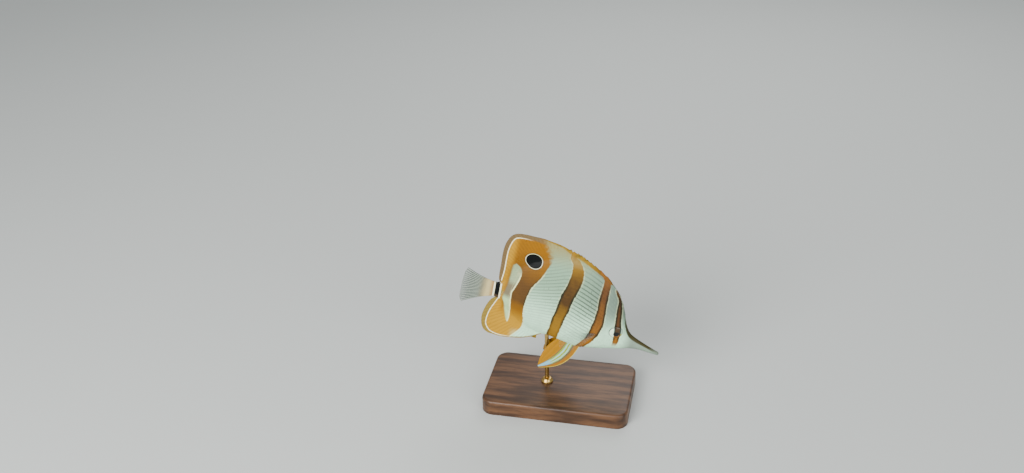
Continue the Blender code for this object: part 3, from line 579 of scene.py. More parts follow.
def paint_markings(recipe, ground):
    """The bars, lines and spots over a ground colour; the skin, the scales and the dorsal and anal fins
    share them.
    """
    wobble = recipe.noise(420.0, 3.0)
    jitter = recipe.math("MULTIPLY_ADD", wobble, 0.6, -0.3)
    place_a, place_b, _ = recipe.read("place")
    bars, tone, shown = recipe.read("bars")
    hind, hind_tone, hind_shown = recipe.read("hind")
    wedge, white_line, line_fade = recipe.read("lines")
    eyespot, stalk, crest = recipe.read("spots")
    brow, face, rows_shown = recipe.read("head")
    mottle = recipe.step(recipe.noise(130.0, 3.0), 0.3, 0.75)
    colour = ground

    crest_share = recipe.step(recipe.math("ADD", crest, jitter), -0.6, 0.7)
    crest_gold = recipe.mix(recipe.step(place_a, 58.0, 74.0), CREST_GOLD, CREST_BROWN)
    streak = recipe.step(recipe.noise(1.0, 3.0, stretch=(120, 600, 500)), 0.5, 0.68)
    crest_gold = recipe.mix(recipe.math("MULTIPLY", streak, 0.6), crest_gold, BROW_OLIVE)
    colour = recipe.mix(crest_share, colour, crest_gold)

    loose = recipe.math("ADD", bars, jitter)
    rim = recipe.math("MULTIPLY", recipe.step(loose, -1.0, -0.3), shown)
    rim = recipe.math("MULTIPLY", rim, recipe.step(crest, 0.0, -4.0))
    colour = recipe.mix(recipe.math("MULTIPLY", rim, 0.28), colour, CREAM)
    tone = recipe.math("MULTIPLY_ADD", mottle, 0.16, recipe.math("ADD", tone, -0.08))
    on_head = recipe.step(place_a, 60.0, 66.0)
    bar = recipe.mix(tone, recipe.mix(on_head, BAR_GOLD, HEAD_BAR_GOLD),
                     recipe.mix(on_head, BAR_BROWN, HEAD_BAR_BROWN))
    dark_edge = recipe.math("MULTIPLY", recipe.step(loose, 2.2, 0.7), recipe.step(tone, -0.1, 0.3))
    dark_edge = recipe.math("MULTIPLY", dark_edge, recipe.step(place_b, 36.0, 20.0))
    bar = recipe.mix(recipe.math("MULTIPLY", dark_edge, 0.85), bar, EDGE_DARK)
    inside = recipe.math("MULTIPLY", recipe.step(loose, -0.2, 0.25), shown)
    colour = recipe.mix(inside, colour, bar)

    rear = recipe.math("ADD", hind, jitter)
    edge = recipe.math("MULTIPLY", recipe.step(rear, -1.1, -0.4), recipe.step(place_b, 32.0, 24.0))
    colour = recipe.mix(recipe.math("MULTIPLY", edge, 0.6), colour, CREAM)
    pale = recipe.math("MAXIMUM", recipe.step(place_a, 9.0, 3.0), recipe.step(place_b, -8.0, -24.0))
    warm = recipe.mix(pale, GOLD, GOLD_PALE)
    hind_tone = recipe.math("MULTIPLY_ADD", mottle, 0.12, recipe.math("ADD", hind_tone, -0.06))
    hindmost = recipe.mix(hind_tone, warm, HIND_BROWN)
    dark_edge = recipe.math("MULTIPLY", recipe.step(rear, 1.4, 0.3), recipe.step(hind_tone, 0.2, 1.0))
    hindmost = recipe.mix(recipe.math("MULTIPLY", dark_edge, 0.6), hindmost, EDGE_DARK)
    share = recipe.math("MULTIPLY", recipe.step(rear, -0.3, 0.3), hind_shown)
    colour = recipe.mix(share, colour, hindmost)

    silver = recipe.math("ADD", wedge, jitter)
    middle = recipe.math("MULTIPLY_ADD", recipe.math("ABSOLUTE", place_b), -0.115, place_a)
    rear_side = recipe.math("MAXIMUM", recipe.step(middle, 10.2, 9.2), recipe.step(place_b, 17.0, 24.0))
    rim = recipe.math("SUBTRACT", recipe.step(silver, -0.7, -0.1), rear_side)
    colour = recipe.mix(rim, colour, CREAM)
    # Inside the wedge: silver above, an olive painted shadow in the middle, pale below
    heart = recipe.mix(recipe.step(place_b, 8.0, 14.0), WEDGE_PAINTED_SHADOW, SILVER)
    heart = recipe.mix(recipe.step(place_b, 1.0, -5.0), heart, WEDGE_PALE)
    rimless = recipe.math("MULTIPLY", recipe.step(silver, -0.9, 1.1), rear_side)
    within = recipe.math("SUBTRACT", recipe.step(silver, 0.1, 0.9), rear_side)
    within = recipe.math("MAXIMUM", within, rimless)
    colour = recipe.mix(within, colour, heart)

    outer = recipe.math("MULTIPLY", recipe.step(white_line, 0.2, 0.7), recipe.step(place_a, 32.0, 19.0))
    margin = recipe.mix(recipe.step(place_b, 2.0, 6.5), MARGIN_OCHRE, MARGIN_ROSE)
    colour = recipe.mix(outer, colour, margin)
    line = recipe.step(recipe.math("ABSOLUTE", white_line), 0.52, 0.2)
    colour = recipe.mix(recipe.math("MULTIPLY", line, line_fade), colour, LINE_WHITE)

    ring_low = recipe.step(place_b, EYESPOT[1] + 6.0, EYESPOT[1] + 1.0)
    halo = recipe.math("MULTIPLY", recipe.step(eyespot, 7.4, 6.4), 0.6)
    colour = recipe.mix(halo, colour, HIND_BROWN)
    ring = recipe.mix(ring_low, CREAM, LINE_WHITE)
    colour = recipe.mix(recipe.step(eyespot, 6.3, 6.05), colour, ring)
    colour = recipe.mix(recipe.step(eyespot, 5.95, 5.7), colour, BLACK)
    colour = paint_stalk(recipe, colour, stalk, place_b)

    ridge = recipe.math("MULTIPLY", recipe.step(brow, -0.4, 0.4), face)
    return recipe.mix(ridge, colour, BROW_OLIVE)


def paint_stalk(recipe, colour, stalk, place_b):
    """The black band round the tail's root, brown low down, between two white lines."""
    band = recipe.mix(recipe.step(place_b, -2.5, -5.0), BLACK, STALK_BROWN)
    colour = recipe.mix(recipe.step(stalk, 3.3, 2.8), colour, LINE_WHITE)
    return recipe.mix(recipe.step(stalk, 2.0, 1.7), colour, band)


def pearl_ground(recipe):
    """The silvery ground, greyer towards the back (partly the fish's own tone, partly painted shade) and
    tan under the crest.
    """
    cloud = recipe.math("MULTIPLY_ADD", recipe.noise(60.0, 3.0), 8.0, -4.0)
    place_a, place_b, _ = recipe.read("place")
    height = recipe.math("ADD", place_b, cloud)
    # Greyer and darker upwards: partly the fish's own tone, partly painted shade
    ground = recipe.mix(recipe.step(height, -12.0, 26.0), PEARL, PEARL_GREY_AND_SHADE)
    tan = recipe.math("MULTIPLY", recipe.step(height, 32.0, 50.0), recipe.step(place_a, 70.0, 58.0))
    ground = recipe.mix(recipe.math("MULTIPLY", tan, 0.8), ground, BACK_TAN)
    head = recipe.math("MULTIPLY", recipe.step(place_a, 52.0, 88.0), recipe.step(height, -4.0, 16.0))
    ground = recipe.mix(recipe.math("MULTIPLY", head, 0.85), ground, HEAD_GREY)
    snout = recipe.math("MULTIPLY", recipe.step(place_a, 98.0, 108.0), 0.9)
    return recipe.mix(snout, ground, SNOUT_GREY)


def skin_material():
    """The skin; between the scales it is as dark as the lines between their rows."""
    recipe = Recipe("pearl_skin")
    ground = pearl_ground(recipe)
    gaps = recipe.math("MULTIPLY", recipe.read("head")[2], recipe.step(recipe.read("place")[0], 82.0, 74.0))
    ground = recipe.mix(recipe.math("MULTIPLY", gaps, 0.8), ground, ROW_GREY)
    colour = paint_markings(recipe, ground)
    recipe.look(Base_Color=colour, Roughness=0.45, Specular_IOR_Level=0.06, Coat_Weight=0.015,
                Coat_Roughness=0.2)
    recipe.bump(recipe.noise(900.0, 3.0), 0.05, 0.4)
    return recipe.material


def scale_material():
    recipe = Recipe("pearl_scales")
    across, along, tint = recipe.read("scale")
    rows_shown = recipe.read("head")[2]
    ground = pearl_ground(recipe)
    ground = recipe.mix(recipe.math("MULTIPLY", tint, 0.2), ground, PEARL_GREY_AND_SHADE)
    line = recipe.step(recipe.math("ABSOLUTE", across), 0.5, 0.9)
    line = recipe.math("MULTIPLY", line, rows_shown)
    ground = recipe.mix(line, ground, ROW_GREY)
    colour = paint_markings(recipe, ground)
    colour = recipe.mix(recipe.math("MULTIPLY", line, 0.3), colour, EDGE_DARK)
    recipe.look(Base_Color=colour, Roughness=0.42, Specular_IOR_Level=0.06, Coat_Weight=0.015,
                Coat_Roughness=0.18)
    ridges = recipe.math("SINE", recipe.math("MULTIPLY", along, 40.0))
    recipe.bump(ridges, 0.01, 0.3)
    return recipe.material


def fin_material():
    """The upright fins: the body's markings, darker between the rays."""
    recipe = Recipe("fin_web_gold")
    ray, height, _ = recipe.read("ray")
    colour = paint_markings(recipe, pearl_ground(recipe))
    web = recipe.math("MULTIPLY", recipe.step(ray, 0.3, 0.9), 0.16)
    colour = recipe.mix(web, colour, HIND_BROWN)
    recipe.look(Base_Color=colour, Roughness=0.5, Specular_IOR_Level=0.05, Coat_Weight=0.01,
                Coat_Roughness=0.25)
    recipe.bump(recipe.noise(1500.0, 2.0), 0.03, 0.4)
    return recipe.material


def skin(material):
    """One skin over snout, jaws, head, gill covers, body and tail stalk."""
    tip = STANDARD_LENGTH - LIP_FRONT - 0.05
    stations = np.concatenate([np.arange(-0.9, 78, 0.8), np.arange(78, 106, 0.35),
                               np.arange(106, tip, 0.36),
                               tip + LIP_FRONT * np.sin(np.linspace(0, 1, 9) * math.pi / 2)])
    count = len(stations)
    around = 320
    obj, u, v = grid_piece("fish_skin", around, count - 1)
    a = stations[np.rint(u * (count - 1)).astype(int)]
    turn = np.rint(v * around) * 2 * math.pi / around
    share = -np.cos(turn)
    middle = widest_line(a)
    reach = np.where(share > 0, body_top(a) - middle, middle - body_bottom(a))
    b = middle + share * reach
    eye_u, eye_v = eye_plane(a, b)
    far = np.hypot(eye_u, eye_v)
    pull = (SOCKET_RADIUS - far) * np.exp(-((far - SOCKET_RADIUS) / 0.35) ** 2)
    a = a + eye_u / np.maximum(far, 0.1) * pull * math.cos(math.radians(EYE_YAW))
    b = b + eye_v / np.maximum(far, 0.1) * pull
    out = skin_out(a, b) * np.where(np.abs(np.sin(turn)) < 1e-6, 0, np.sign(np.sin(turn)))
    round_off = np.sqrt(np.clip(1 - (np.maximum(a - tip, 0) / (LIP_FRONT * 1.001)) ** 2, 0, 1))
    lips = mouth_line(a)
    slit = 0.6 * np.exp(-((b - lips) / 0.16) ** 2) * ease(a, tip, tip + LIP_FRONT)
    give_markings(obj.data, a, b)
    give(obj.data, "place", np.stack([a, b, out], axis=-1))
    b = lips + (b - lips) * np.maximum(round_off, 0.02)
    set_places(obj, place(a - slit, b, out * np.maximum(round_off, 0.02)))
    outwards(obj, merge=1e-6)
    close_ends(obj)
    outwards(obj)
    obj.data.materials.append(material)
    smooth(obj, 60)
    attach(obj, "root")
    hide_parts("head", "snout", "upper_jaw", "lower_jaw", "gill_cover_right",
                "gill_cover_left", "torso", "tail_stalk")
    return obj


# The scale rows: levels of an unrolled height above a middle row that bends with the body
ROW_MIDDLE = curve([(0, 0), (10, 2), (20, 4.5), (30, 7.6), (40, 10.9), (50, 13.6), (56, 13.6),
                    (62, 12.3), (68, 10.4), (76, 7.8), (84, 4.8), (95, -0.5), (107, -8)])
ROW_SPREAD = curve([(0, 0.45), (10, 0.75), (20, 0.88), (37, 0.98), (52, 1.1), (64, 1.13),
                    (76, 1.08), (88, 0.92), (97, 0.7), (107, 0.42)])
ROUND_EXTRA_TOP = curve([(76, 0.02), (88, 0.08), (104, 0.1)])
ROUND_EXTRA_LOW = curve([(36, 0.02), (48, 0.09), (104, 0.1)])
FIN_SHRINK = 0.12
# A scale takes its markings round the middle of its seen part, drawn in a little
SEEN_SHARE = 0.65
OWN_SHARE = 0.75


def edge_and_extra(a, above):
    middle = widest_line(a)
    reach = np.where(above, body_top(a) - middle, middle - body_bottom(a))
    extra = np.where(above, ROUND_EXTRA_TOP(a), ROUND_EXTRA_LOW(a))
    return middle, reach, extra


def unroll(a, b):
    """Height along the skin from the widest line; it grows faster on the fins."""
    above = b >= widest_line(a)
    middle, reach, extra = edge_and_extra(a, above)
    share = np.abs(b - middle) / reach
    body = reach * (np.minimum(share, 1) + extra * np.minimum(share, 1) ** 8)
    past = np.maximum(share - 1, 0) * reach
    return middle + np.where(above, 1, -1) * (body + past * (1 + FIN_SHRINK * past))


def roll(a, level):
    """The height b whose unrolled height is the level."""
    above = level >= widest_line(a)
    middle, reach, extra = edge_and_extra(a, above)
    far = np.abs(level - middle) / reach
    share = np.minimum(far / (1 + extra), 1)
    for _ in range(5):
        error = share + extra * share ** 8 - np.minimum(far, 1 + extra)
        share = share - error / (1 + 8 * extra * share ** 7)
    past = np.maximum(far - 1 - extra, 0) * reach
    beyond = (np.sqrt(1 + 4 * FIN_SHRINK * past) - 1) / (2 * FIN_SHRINK)
    return middle + np.where(above, 1, -1) * (share * reach + beyond)


def coat_out(a, b):
    """The surface that the scales lie on: the skin, and the fins' bases beyond it."""
    on_body = (b < body_top(a)) & (b > body_bottom(a))
    return np.where(on_body, skin_out(a, b), fin_half(a, b) + 0.08)


def scale_roots():
    """Root places of one flank's scales: each row is walked from the head to the tail."""
    levels = np.arange(-28, 34)
    a = np.full(len(levels), 105.0) - 0.5 * STEP * (levels % 2)
    found = []
    while a.max() > 2:
        def row_b(at):
            return roll(at, ROW_MIDDLE(at) + levels * ROW * ROW_SPREAD(at))

        b = row_b(a)
        slope_b = row_b(a + 0.25) - row_b(a - 0.25)
        slope_c = coat_out(a + 0.25, row_b(a + 0.25)) - coat_out(a - 0.25, row_b(a - 0.25))
        beyond = beyond_body(a, b)
        size = ROW_SPREAD(a) ** 0.7 / (1 + 2 * FIN_SHRINK * beyond)
        found.append(np.stack([a, b, size, beyond, levels], axis=1))
        a = a - STEP * size / np.sqrt(1 + 4 * slope_b ** 2 + 4 * np.minimum(slope_c, 1) ** 2)
    spots = np.concatenate(found)
    a, b, size, beyond, level = spots.T
    u, v = eye_plane(a, b)
    fin_reach = np.where(b > 0, 9.0, 7.0) * ease(a, 1, 12) * ease(a, 81, 76)
    fin_reach = np.where((b < 0) & (a > 38), 0, fin_reach)
    keep = (a > 3.2) & (beyond <= fin_reach) & (np.hypot(u, v) > 6.7)
    keep &= ~((b > 0) & (a > 46) & (beyond > 1.2))
    for nose_a, nose_b, radius in NOSTRILS:
        keep &= np.hypot(a - 0.6 - nose_a, b - nose_b) > radius + 1.1
    keep &= ~((np.abs(a - gill_line(b) - 0.5) < 1.3) & (b > -21) & (b < 9))
    keep &= np.hypot(a - 77.6, (b + 9.6) * 0.7) > 3.2
    return spots[keep]


def scales(name, side, seed, material):
    """One flank's coat of scales, each a curved plate with its free edge to the tail."""
    draw = np.random.default_rng(seed)
    spots = scale_roots()
    count = len(spots)
    a0, b0, size, beyond, level = (column[:, None] for column in spots.T)
    along = np.array([0.0, 0.3, 0.6, 0.85, 1.0])
    across = np.array([-1.0, -0.5, 0.0, 0.5, 1.0])
    x, y = (part.ravel()[None, :] for part in np.meshgrid(along, across, indexing="ij"))
    tint = draw.random((count, 1))
    wide = 1.03 + 0.04 * draw.standard_normal((count, 1))
    long = 1.5 + 0.08 * draw.standard_normal((count, 1))
    row = ROW_MIDDLE(a0) + level * ROW * ROW_SPREAD(a0)
    run_b = (roll(a0 + 0.3, ROW_MIDDLE(a0 + 0.3) + level * ROW * ROW_SPREAD(a0 + 0.3))
             - roll(a0 - 0.3, ROW_MIDDLE(a0 - 0.3) + level * ROW * ROW_SPREAD(a0 - 0.3))) / 0.6
    reach = STEP * size * long / np.hypot(1, run_b)
    x_free = x * (1 - 0.42 * y ** 2)
    a = a0 - x_free * reach
    half_row = 0.5 * ROW * ROW_SPREAD(a0) * wide
    b = roll(a, ROW_MIDDLE(a) + level * ROW * ROW_SPREAD(a) + y * half_row)
    out = coat_out(a, b)
    dc_da = coat_out(a + 0.2, b) - coat_out(a - 0.2, b)
    dc_db = coat_out(a, b + 0.2) - coat_out(a, b - 0.2)
    normal = np.stack([-dc_da / 0.4, -dc_db / 0.4, np.ones_like(out)], axis=-1)
    normal /= np.linalg.norm(normal, axis=-1, keepdims=True)
    lift = SCALE_LIFT * np.minimum(size + 0.15, 1)
    height = lift * (-0.35 + 1.35 * x ** 0.8) - 0.55 * lift * np.abs(y) ** 2.5
    height = height + 0.012 * draw.standard_normal((count, 1))
    points = np.stack([a, b, out], axis=-1) + normal * height[..., None]
    foot = np.stack([a0 - 0.5 * reach, b0, coat_out(a0, b0) - 0.25 * np.ones_like(a0)], axis=-1)
    points = np.concatenate([points, foot], axis=1)
    per = points.shape[1]

    n, m = len(along), len(across)
    corners = [(i * m + j, (i + 1) * m + j, (i + 1) * m + j + 1, i * m + j + 1)
               for i in range(n - 1) for j in range(m - 1)]
    rim = [j for j in range(m)] + [i * m + m - 1 for i in range(1, n)]
    rim += [(n - 1) * m + j for j in range(m - 2, -1, -1)] + [i * m for i in range(n - 2, 0, -1)]
    skirt = [(here, after, n * m) for here, after in zip(rim, rim[1:] + rim[:1])]
    faces = []
    for first in range(0, count * per, per):
        faces += [tuple(first + k for k in corner) for corner in corners]
        faces += [tuple(first + k for k in corner) for corner in skirt]
    flat = points.reshape(-1, 3)
    mesh = bpy.data.meshes.new(name)
    mesh.from_pydata(place(flat[:, 0], flat[:, 1], flat[:, 2] * side).tolist(), [], faces)
    obj = bpy.data.objects.new(name, mesh)
    bpy.context.scene.collection.objects.link(obj)

    seen_a = a0 - SEEN_SHARE * reach
    mark_a = seen_a + OWN_SHARE * (points[..., 0] - seen_a)
    mark_b = b0 + OWN_SHARE * (points[..., 1] - b0)
    exact = markings(flat[:, 0], flat[:, 1])
    drawn = markings(mark_a.ravel(), mark_b.ravel())
    drawn.update(spots=exact["spots"], lines=exact["lines"])
    for marking, values in drawn.items():
        give(mesh, marking, values)
    give(mesh, "place", flat)
    own = np.stack([np.append(np.broadcast_to(y, (count, n * m)), np.zeros((count, 1)), axis=1),
                    np.append(np.broadcast_to(x, (count, n * m)), np.zeros((count, 1)), axis=1),
                    np.broadcast_to(tint, (count, per))], axis=-1)
    give(mesh, "scale", own)
    root_u = (a0 + 20) / 160
    root_v = (unroll(a0, b0) + 70) / 160
    patch_u = root_u + PATCH * (0.5 - own[..., 1])
    patch_v = root_v + PATCH * 0.5 * own[..., 0]
    uv = np.stack([patch_u, patch_v], axis=-1).reshape(-1, 2)
    loops = np.empty(len(mesh.loops), int)
    mesh.loops.foreach_get("vertex_index", loops)
    layer = mesh.uv_layers.new(name="OFBake")
    layer.data.foreach_set("uv", uv[loops].astype(np.float32).ravel())
    outwards(obj)
    mesh.materials.append(material)
    smooth(obj, 50)
    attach(obj, "root")
    return obj


def rim_point(edge, a, gap):
    """Places off the body's edge by the gap, square to it."""
    step = 0.25
    rise = (edge(a + step) - edge(a - step)) / (2 * step)
    sign = 1 if edge is body_top else -1
    length = np.hypot(1, rise)
    return a - sign * gap * rise / length, edge(a) + sign * gap / length


def fan(s, t, base, margin, sink, bow=0.0):
    """Places of a fin: rays run from the sunk base to the margin; also the run along the ray."""
    root_a, root_b = base
    end_a, end_b = margin
    length = np.hypot(end_a - root_a, end_b - root_b)
    run = t * (length + sink) - sink
    share = run / length
    way_a, way_b = (end_a - root_a) / length, (end_b - root_b) / length
    off = bow * 4 * np.clip(share, 0, 1) * (1 - np.clip(share, 0, 1))
    return root_a + way_a * run - way_b * off, root_b + way_b * run + way_a * off, run


def ridge(phase, width=0.32):
    """Height of a ray across its own cell: 1 on the ray, 0 between two."""
    off = np.abs(phase - 0.5)
    return np.clip(1 - (off / width) ** 2, 0, 1)


def upright_fin(name, node, material, rays, per_ray, rows, lay, rise, web=None):
    """A fin in the middle plane; lay gives a, b and run from the shares s, t and the ray's phase."""
    obj, s, t = grid_piece(name, rows, rays * per_ray)
    phase = np.where(s >= 1, 0, (s * rays) % 1.0)
    a, b, run = lay(s, t, phase)
    thin = web(a, b, t) if web else fin_half(a, b) * np.where(t > 0.92, 1 - 3 * (t - 0.92), 1)
    half = thin + rise(t) * ridge(phase) * ease(t, 1.0, 0.93)
    give_markings(obj.data, a, b)
    give(obj.data, "place", np.stack([a, b, np.zeros_like(a)], axis=-1))
    give(obj.data, "ray", np.stack([np.abs(2 * phase - 1), t, s], axis=-1))
    set_places(obj, place(a, b, 0 * a))
    thicken(obj, half)
    outwards(obj)
    obj.data.materials.append(material)
    smooth(obj, 60)
    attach(obj, "root")
    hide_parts(node)
    return obj


SPINES = 9
SPINE_START = 80.2
SPINE_LEAN = 9.0
DORSAL_SPLIT = 46.0
DORSAL_END = 1.6
ANAL_START = 41.0
ANAL_END = 1.4


def spiny_dorsal(material):
    """Nine folded spines; the web is cut in behind each tip."""
    def lay(s, t, phase):
        root = SPINE_START + (DORSAL_SPLIT + 0.05 - SPINE_START) * s
        tip = root - SPINE_LEAN * 4 * s * (1 - s) * (1 - s)
        tooth = np.interp(phase, [0, 0.25, 0.5, 0.6, 0.78, 1], [0, 0.3, 0.8, 0.45, -0.1, 0])
        margin = (tip - 0.5 * tooth, TOP_MARGIN(tip) + tooth)
        return fan(s, t, rim_point(body_top, root, 0), margin, FIN_SINK)

    return upright_fin("spiny_dorsal_fin", "dorsal_fin_spines", material, SPINES, 20, 30,
                       lay, lambda t: 0.4 * (1 - 0.55 * t))


def soft_dorsal(material):
    edge = path([(46, 50.2), (38.4, 52.2), (30, 53), (24, 53.4), (17.2, 52.88), (10.5, 52.37),
                 (6.1, 51.47), (2.6, 49.98), (-0.1, 46.9), (-1.6, 43), (-2.5, 38), (-2.6, 33),
                 (-2.2, 26.4), (-1.7, 20), (-1.3, 13.5), (-0.6, 9.3), (0.2, 7.6)])

    def lay(s, t, phase):
        root = DORSAL_SPLIT + (DORSAL_END - DORSAL_SPLIT) * s ** 0.9
        end_a, end_b = edge(s)
        return fan(s, t, rim_point(body_top, root, 0), (end_a, end_b), FIN_SINK)

    return upright_fin("soft_dorsal_fin", "dorsal_fin_soft", material, 29, 8, 44, lay,
                       lambda t: 0.13 * ease(t, 0.1, 0.4) * (1 - 0.5 * t))


def anal(material):
    edge = path([(40.6, -27.5), (38.1, -29.4), (33.4, -32.9), (26.2, -36.7), (18.7, -39.1),
                 (11.1, -40.8), (5.4, -41), (1.4, -40.7), (-1.3, -39.4), (-3.3, -37.3),
                 (-4.8, -34.7), (-6.3, -29.2), (-6.7, -25.4), (-6.4, -22), (-4.8, -14.6),
                 (-2.6, -9.6), (-0.5, -7.3)])

    def lay(s, t, phase):
        root = ANAL_START + (ANAL_END - ANAL_START) * s
        return fan(s, t, rim_point(body_bottom, root, 0), edge(s), FIN_SINK)

    return upright_fin("soft_anal_fin", "anal_fin", material, 23, 8, 40, lay,
                       lambda t: 0.13 * ease(t, 0.1, 0.4) * (1 - 0.5 * t))


TAIL_CREAM = (0.5, 0.41, 0.2)
TAIL_TAN = (0.36, 0.22, 0.085)
TAIL_WEB = (0.07, 0.095, 0.085)
TAIL_RAY = (0.45, 0.5, 0.38)


def clear_material():
    """The tail fin: a cream base, a clear outer web and pale rays."""
    recipe = Recipe("clear_tail_web")
    ray, height, _ = recipe.read("ray")
    on_ray = recipe.step(ray, 0.5, 0.12)
    base =recipe.step(recipe.math("MULTIPLY_ADD", on_ray, -0.12, height), 0.48, 0.32)
    colour = recipe.mix(on_ray, TAIL_WEB, TAIL_RAY)
    colour = recipe.mix(base, colour, TAIL_CREAM)
    stalk = recipe.read("spots")[1]
    colour = recipe.mix(recipe.step(stalk, 6.5, 3.6), colour, TAIL_TAN)
    colour = paint_stalk(recipe, colour, stalk, recipe.read("place")[1])
    web = recipe.math("MULTIPLY_ADD", recipe.step(height, 1.02, 0.7), 0.38, 0.38)
    rays = recipe.math("MULTIPLY_ADD", recipe.step(height, 1.0, 0.55), 0.5, 0.4)
    clear = recipe.math("MULTIPLY_ADD", on_ray, recipe.math("SUBTRACT", rays, web), web)
    solid = recipe.math("MAXIMUM", clear, base)
    recipe.look(Base_Color=colour, Roughness=0.4, Alpha=solid, Specular_IOR_Level=0.1)
    return recipe.material


def tail_fin(material):
    corner_a, corner_b = TAIL_CORNER
    edge = path([(corner_a, corner_b), (corner_a - 1.3, corner_b * 0.8),
                 (-TAIL_LENGTH, corner_b * 0.35), (-TAIL_LENGTH, -corner_b * 0.35),
                 (corner_a - 1.3, -corner_b * 0.8), (corner_a, -corner_b)])

    def lay(s, t, phase):
        base = (0.0 * s, 5.6 * (1 - 2 * s))
        return fan(s, t, base, edge(s), 1.6, bow=1.2 * (1 - 2 * s))

    def web(a, b, t):
        root = flank(np.zeros_like(b), np.clip(b, -5.9, 5.9)) - 0.2
        near = np.clip(-a / 26, 0, 1)
        return 0.16 + 0.06 * (1 - t) + (root - 0.25) * (1 - near) ** 7

    return upright_fin("tail_fin", "caudal_fin", material, 17, 10, 50, lay,
                       lambda t: 0.16 * ease(t, 0, 0.2) * (1 - 0.4 * t), web=web)


def side_fin(name, node, material, rays, per_ray, rows, lay, half):
    """A fin off the middle plane; lay gives world points from the shares s and t."""
    obj, s, t = grid_piece(name, rows, rays * per_ray)
    phase = np.where(s >= 1, 0, (s * rays) % 1.0)
    give(obj.data, "ray", np.stack([np.abs(2 * phase - 1), t, s], axis=-1))
    set_places(obj, lay(s, t))
    thicken(obj, half(s, t, phase))
    outwards(obj)
    obj.data.materials.append(material)
    smooth(obj, 60)
    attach(obj, "root")
    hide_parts(node)
    return obj


def pectoral_material():
    recipe = Recipe("clear_side_web")
    ray, height, s = recipe.read("ray")
    on_ray = recipe.step(ray, 0.7, 0.25)
    # A painted shadow at the fin's root: darker blue-grey and less clear near the root of the upper rays,
    # fading outwards
    root_shadow = recipe.math("MULTIPLY", recipe.step(height, 0.6, 0.25), recipe.step(s, 0.75, 0.35))
    colour = recipe.mix(root_shadow, (0.22, 0.25, 0.21), (0.09, 0.11, 0.11))
    bone = recipe.math("MULTIPLY_ADD", recipe.step(height, 1.0, 0.1), 0.08, 0.04)
    clear = recipe.math("MULTIPLY_ADD", on_ray, bone, 0.04)
    recipe.look(Base_Color=colour, Roughness=0.35, Specular_IOR_Level=0.04,
                Alpha=recipe.math("MULTIPLY_ADD", root_shadow, 0.22, clear))
    return recipe.material


def pectoral(side_name, side, material):
    """A clear fan held out behind the gill cover."""
    out = math.radians(PECTORAL_OUT)
    top, bottom = np.array(PECTORAL_ROOT, float)
    back = np.array([-math.cos(out), 0, math.sin(out)])
    face = np.array([math.sin(out), 0, math.cos(out)])
    length = curve([(0, 0.72), (0.2, 0.97), (0.35, 1.0), (0.6, 0.86), (1, 0.5)])
    droop = curve([(0, 8), (1, -52)])

    def lay(s, t):
        t = -0.07 + 1.07 * t
        root = top + (bottom - top) * s[:, None]
        start = np.stack([root[:, 0], root[:, 1], flank(root[:, 0], root[:, 1]) + GAP], axis=1)
        turn = np.radians(droop(s))[:, None]
        ray = back * np.cos(turn) + np.array([0, 1, 0]) * np.sin(turn)
        points = start + ray * (PECTORAL_LENGTH * length(s) * t)[:, None]
        points -= face * (PECTORAL_CURL * t * np.abs(t))[:, None]
        return place(points[:, 0], points[:, 1], points[:, 2] * side)

    def half(s, t, phase):
        return (0.1 + 0.4 * np.exp(-t / 0.07) + 0.12 * ridge(phase) * (1 - 0.5 * t))

    return side_fin(f"clear_pectoral_{side_name}", f"pectoral_fin_{side_name}", material,
                    14, 8, 36, lay, half)


PELVIC_LEAD = (0.27, 0.115, 0.008)
PELVIC_BLADE = (0.31, 0.14, 0.004)
PELVIC_PALE = (0.3, 0.52, 0.42)
PELVIC_BLUE = (0.19, 0.42, 0.5)
PELVIC_LIME = (0.25, 0.32, 0.022)
PELVIC_VIOLET = (0.09, 0.08, 0.06)
PELVIC_FRINGE = (0.55, 0.44, 0.06)


def pelvic_material():
    """Golden leading strip, pale blue and lime middle, orange rear blade."""
    recipe = Recipe("pelvic_web")
    ray, height, s = recipe.read("ray")
    across = recipe.math("MULTIPLY_ADD", recipe.noise(130.0, 2.0), 0.08,
                         recipe.math("ADD", s, -0.04))
    streak = recipe.step(recipe.math("SINE", recipe.math("MULTIPLY", across, 50.0)), -0.5, 0.5)
    lime = recipe.math("MULTIPLY", streak, recipe.step(height, 0.78, 0.62))
    pale = recipe.mix(recipe.step(height, 0.6, 0.8), PELVIC_PALE, PELVIC_BLUE)
    middle = recipe.mix(lime, pale, PELVIC_LIME)
    lead = recipe.mix(recipe.step(across, 0.01, 0.05), PELVIC_FRINGE, PELVIC_LEAD)
    colour = recipe.mix(recipe.step(across, 0.2, 0.24), lead, PELVIC_VIOLET)
    colour = recipe.mix(recipe.step(s, 0.26, 0.3), colour, middle)
    colour = recipe.mix(recipe.step(s, 0.54, 0.57), colour, PELVIC_VIOLET)
    colour = recipe.mix(recipe.step(s, 0.57, 0.6), colour, PELVIC_BLADE)
    web = recipe.math("MULTIPLY", recipe.step(ray, 0.5, 0.95), 0.12)
    colour = recipe.mix(web, colour, HIND_BROWN)
    recipe.look(Base_Color=colour, Roughness=0.5, Specular_IOR_Level=0.05, Coat_Weight=0.01,
                Coat_Roughness=0.25)
    return recipe.material


def belly_below(a, c):
    """Height of the body's lower surface at a distance from the middle plane."""
    low, high = body_bottom(a), widest_line(a)
    for _ in range(30):
        middle = (low + high) / 2
        narrow = flank(a, middle) < c
        low, high = np.where(narrow, middle, low), np.where(narrow, high, middle)
    return low


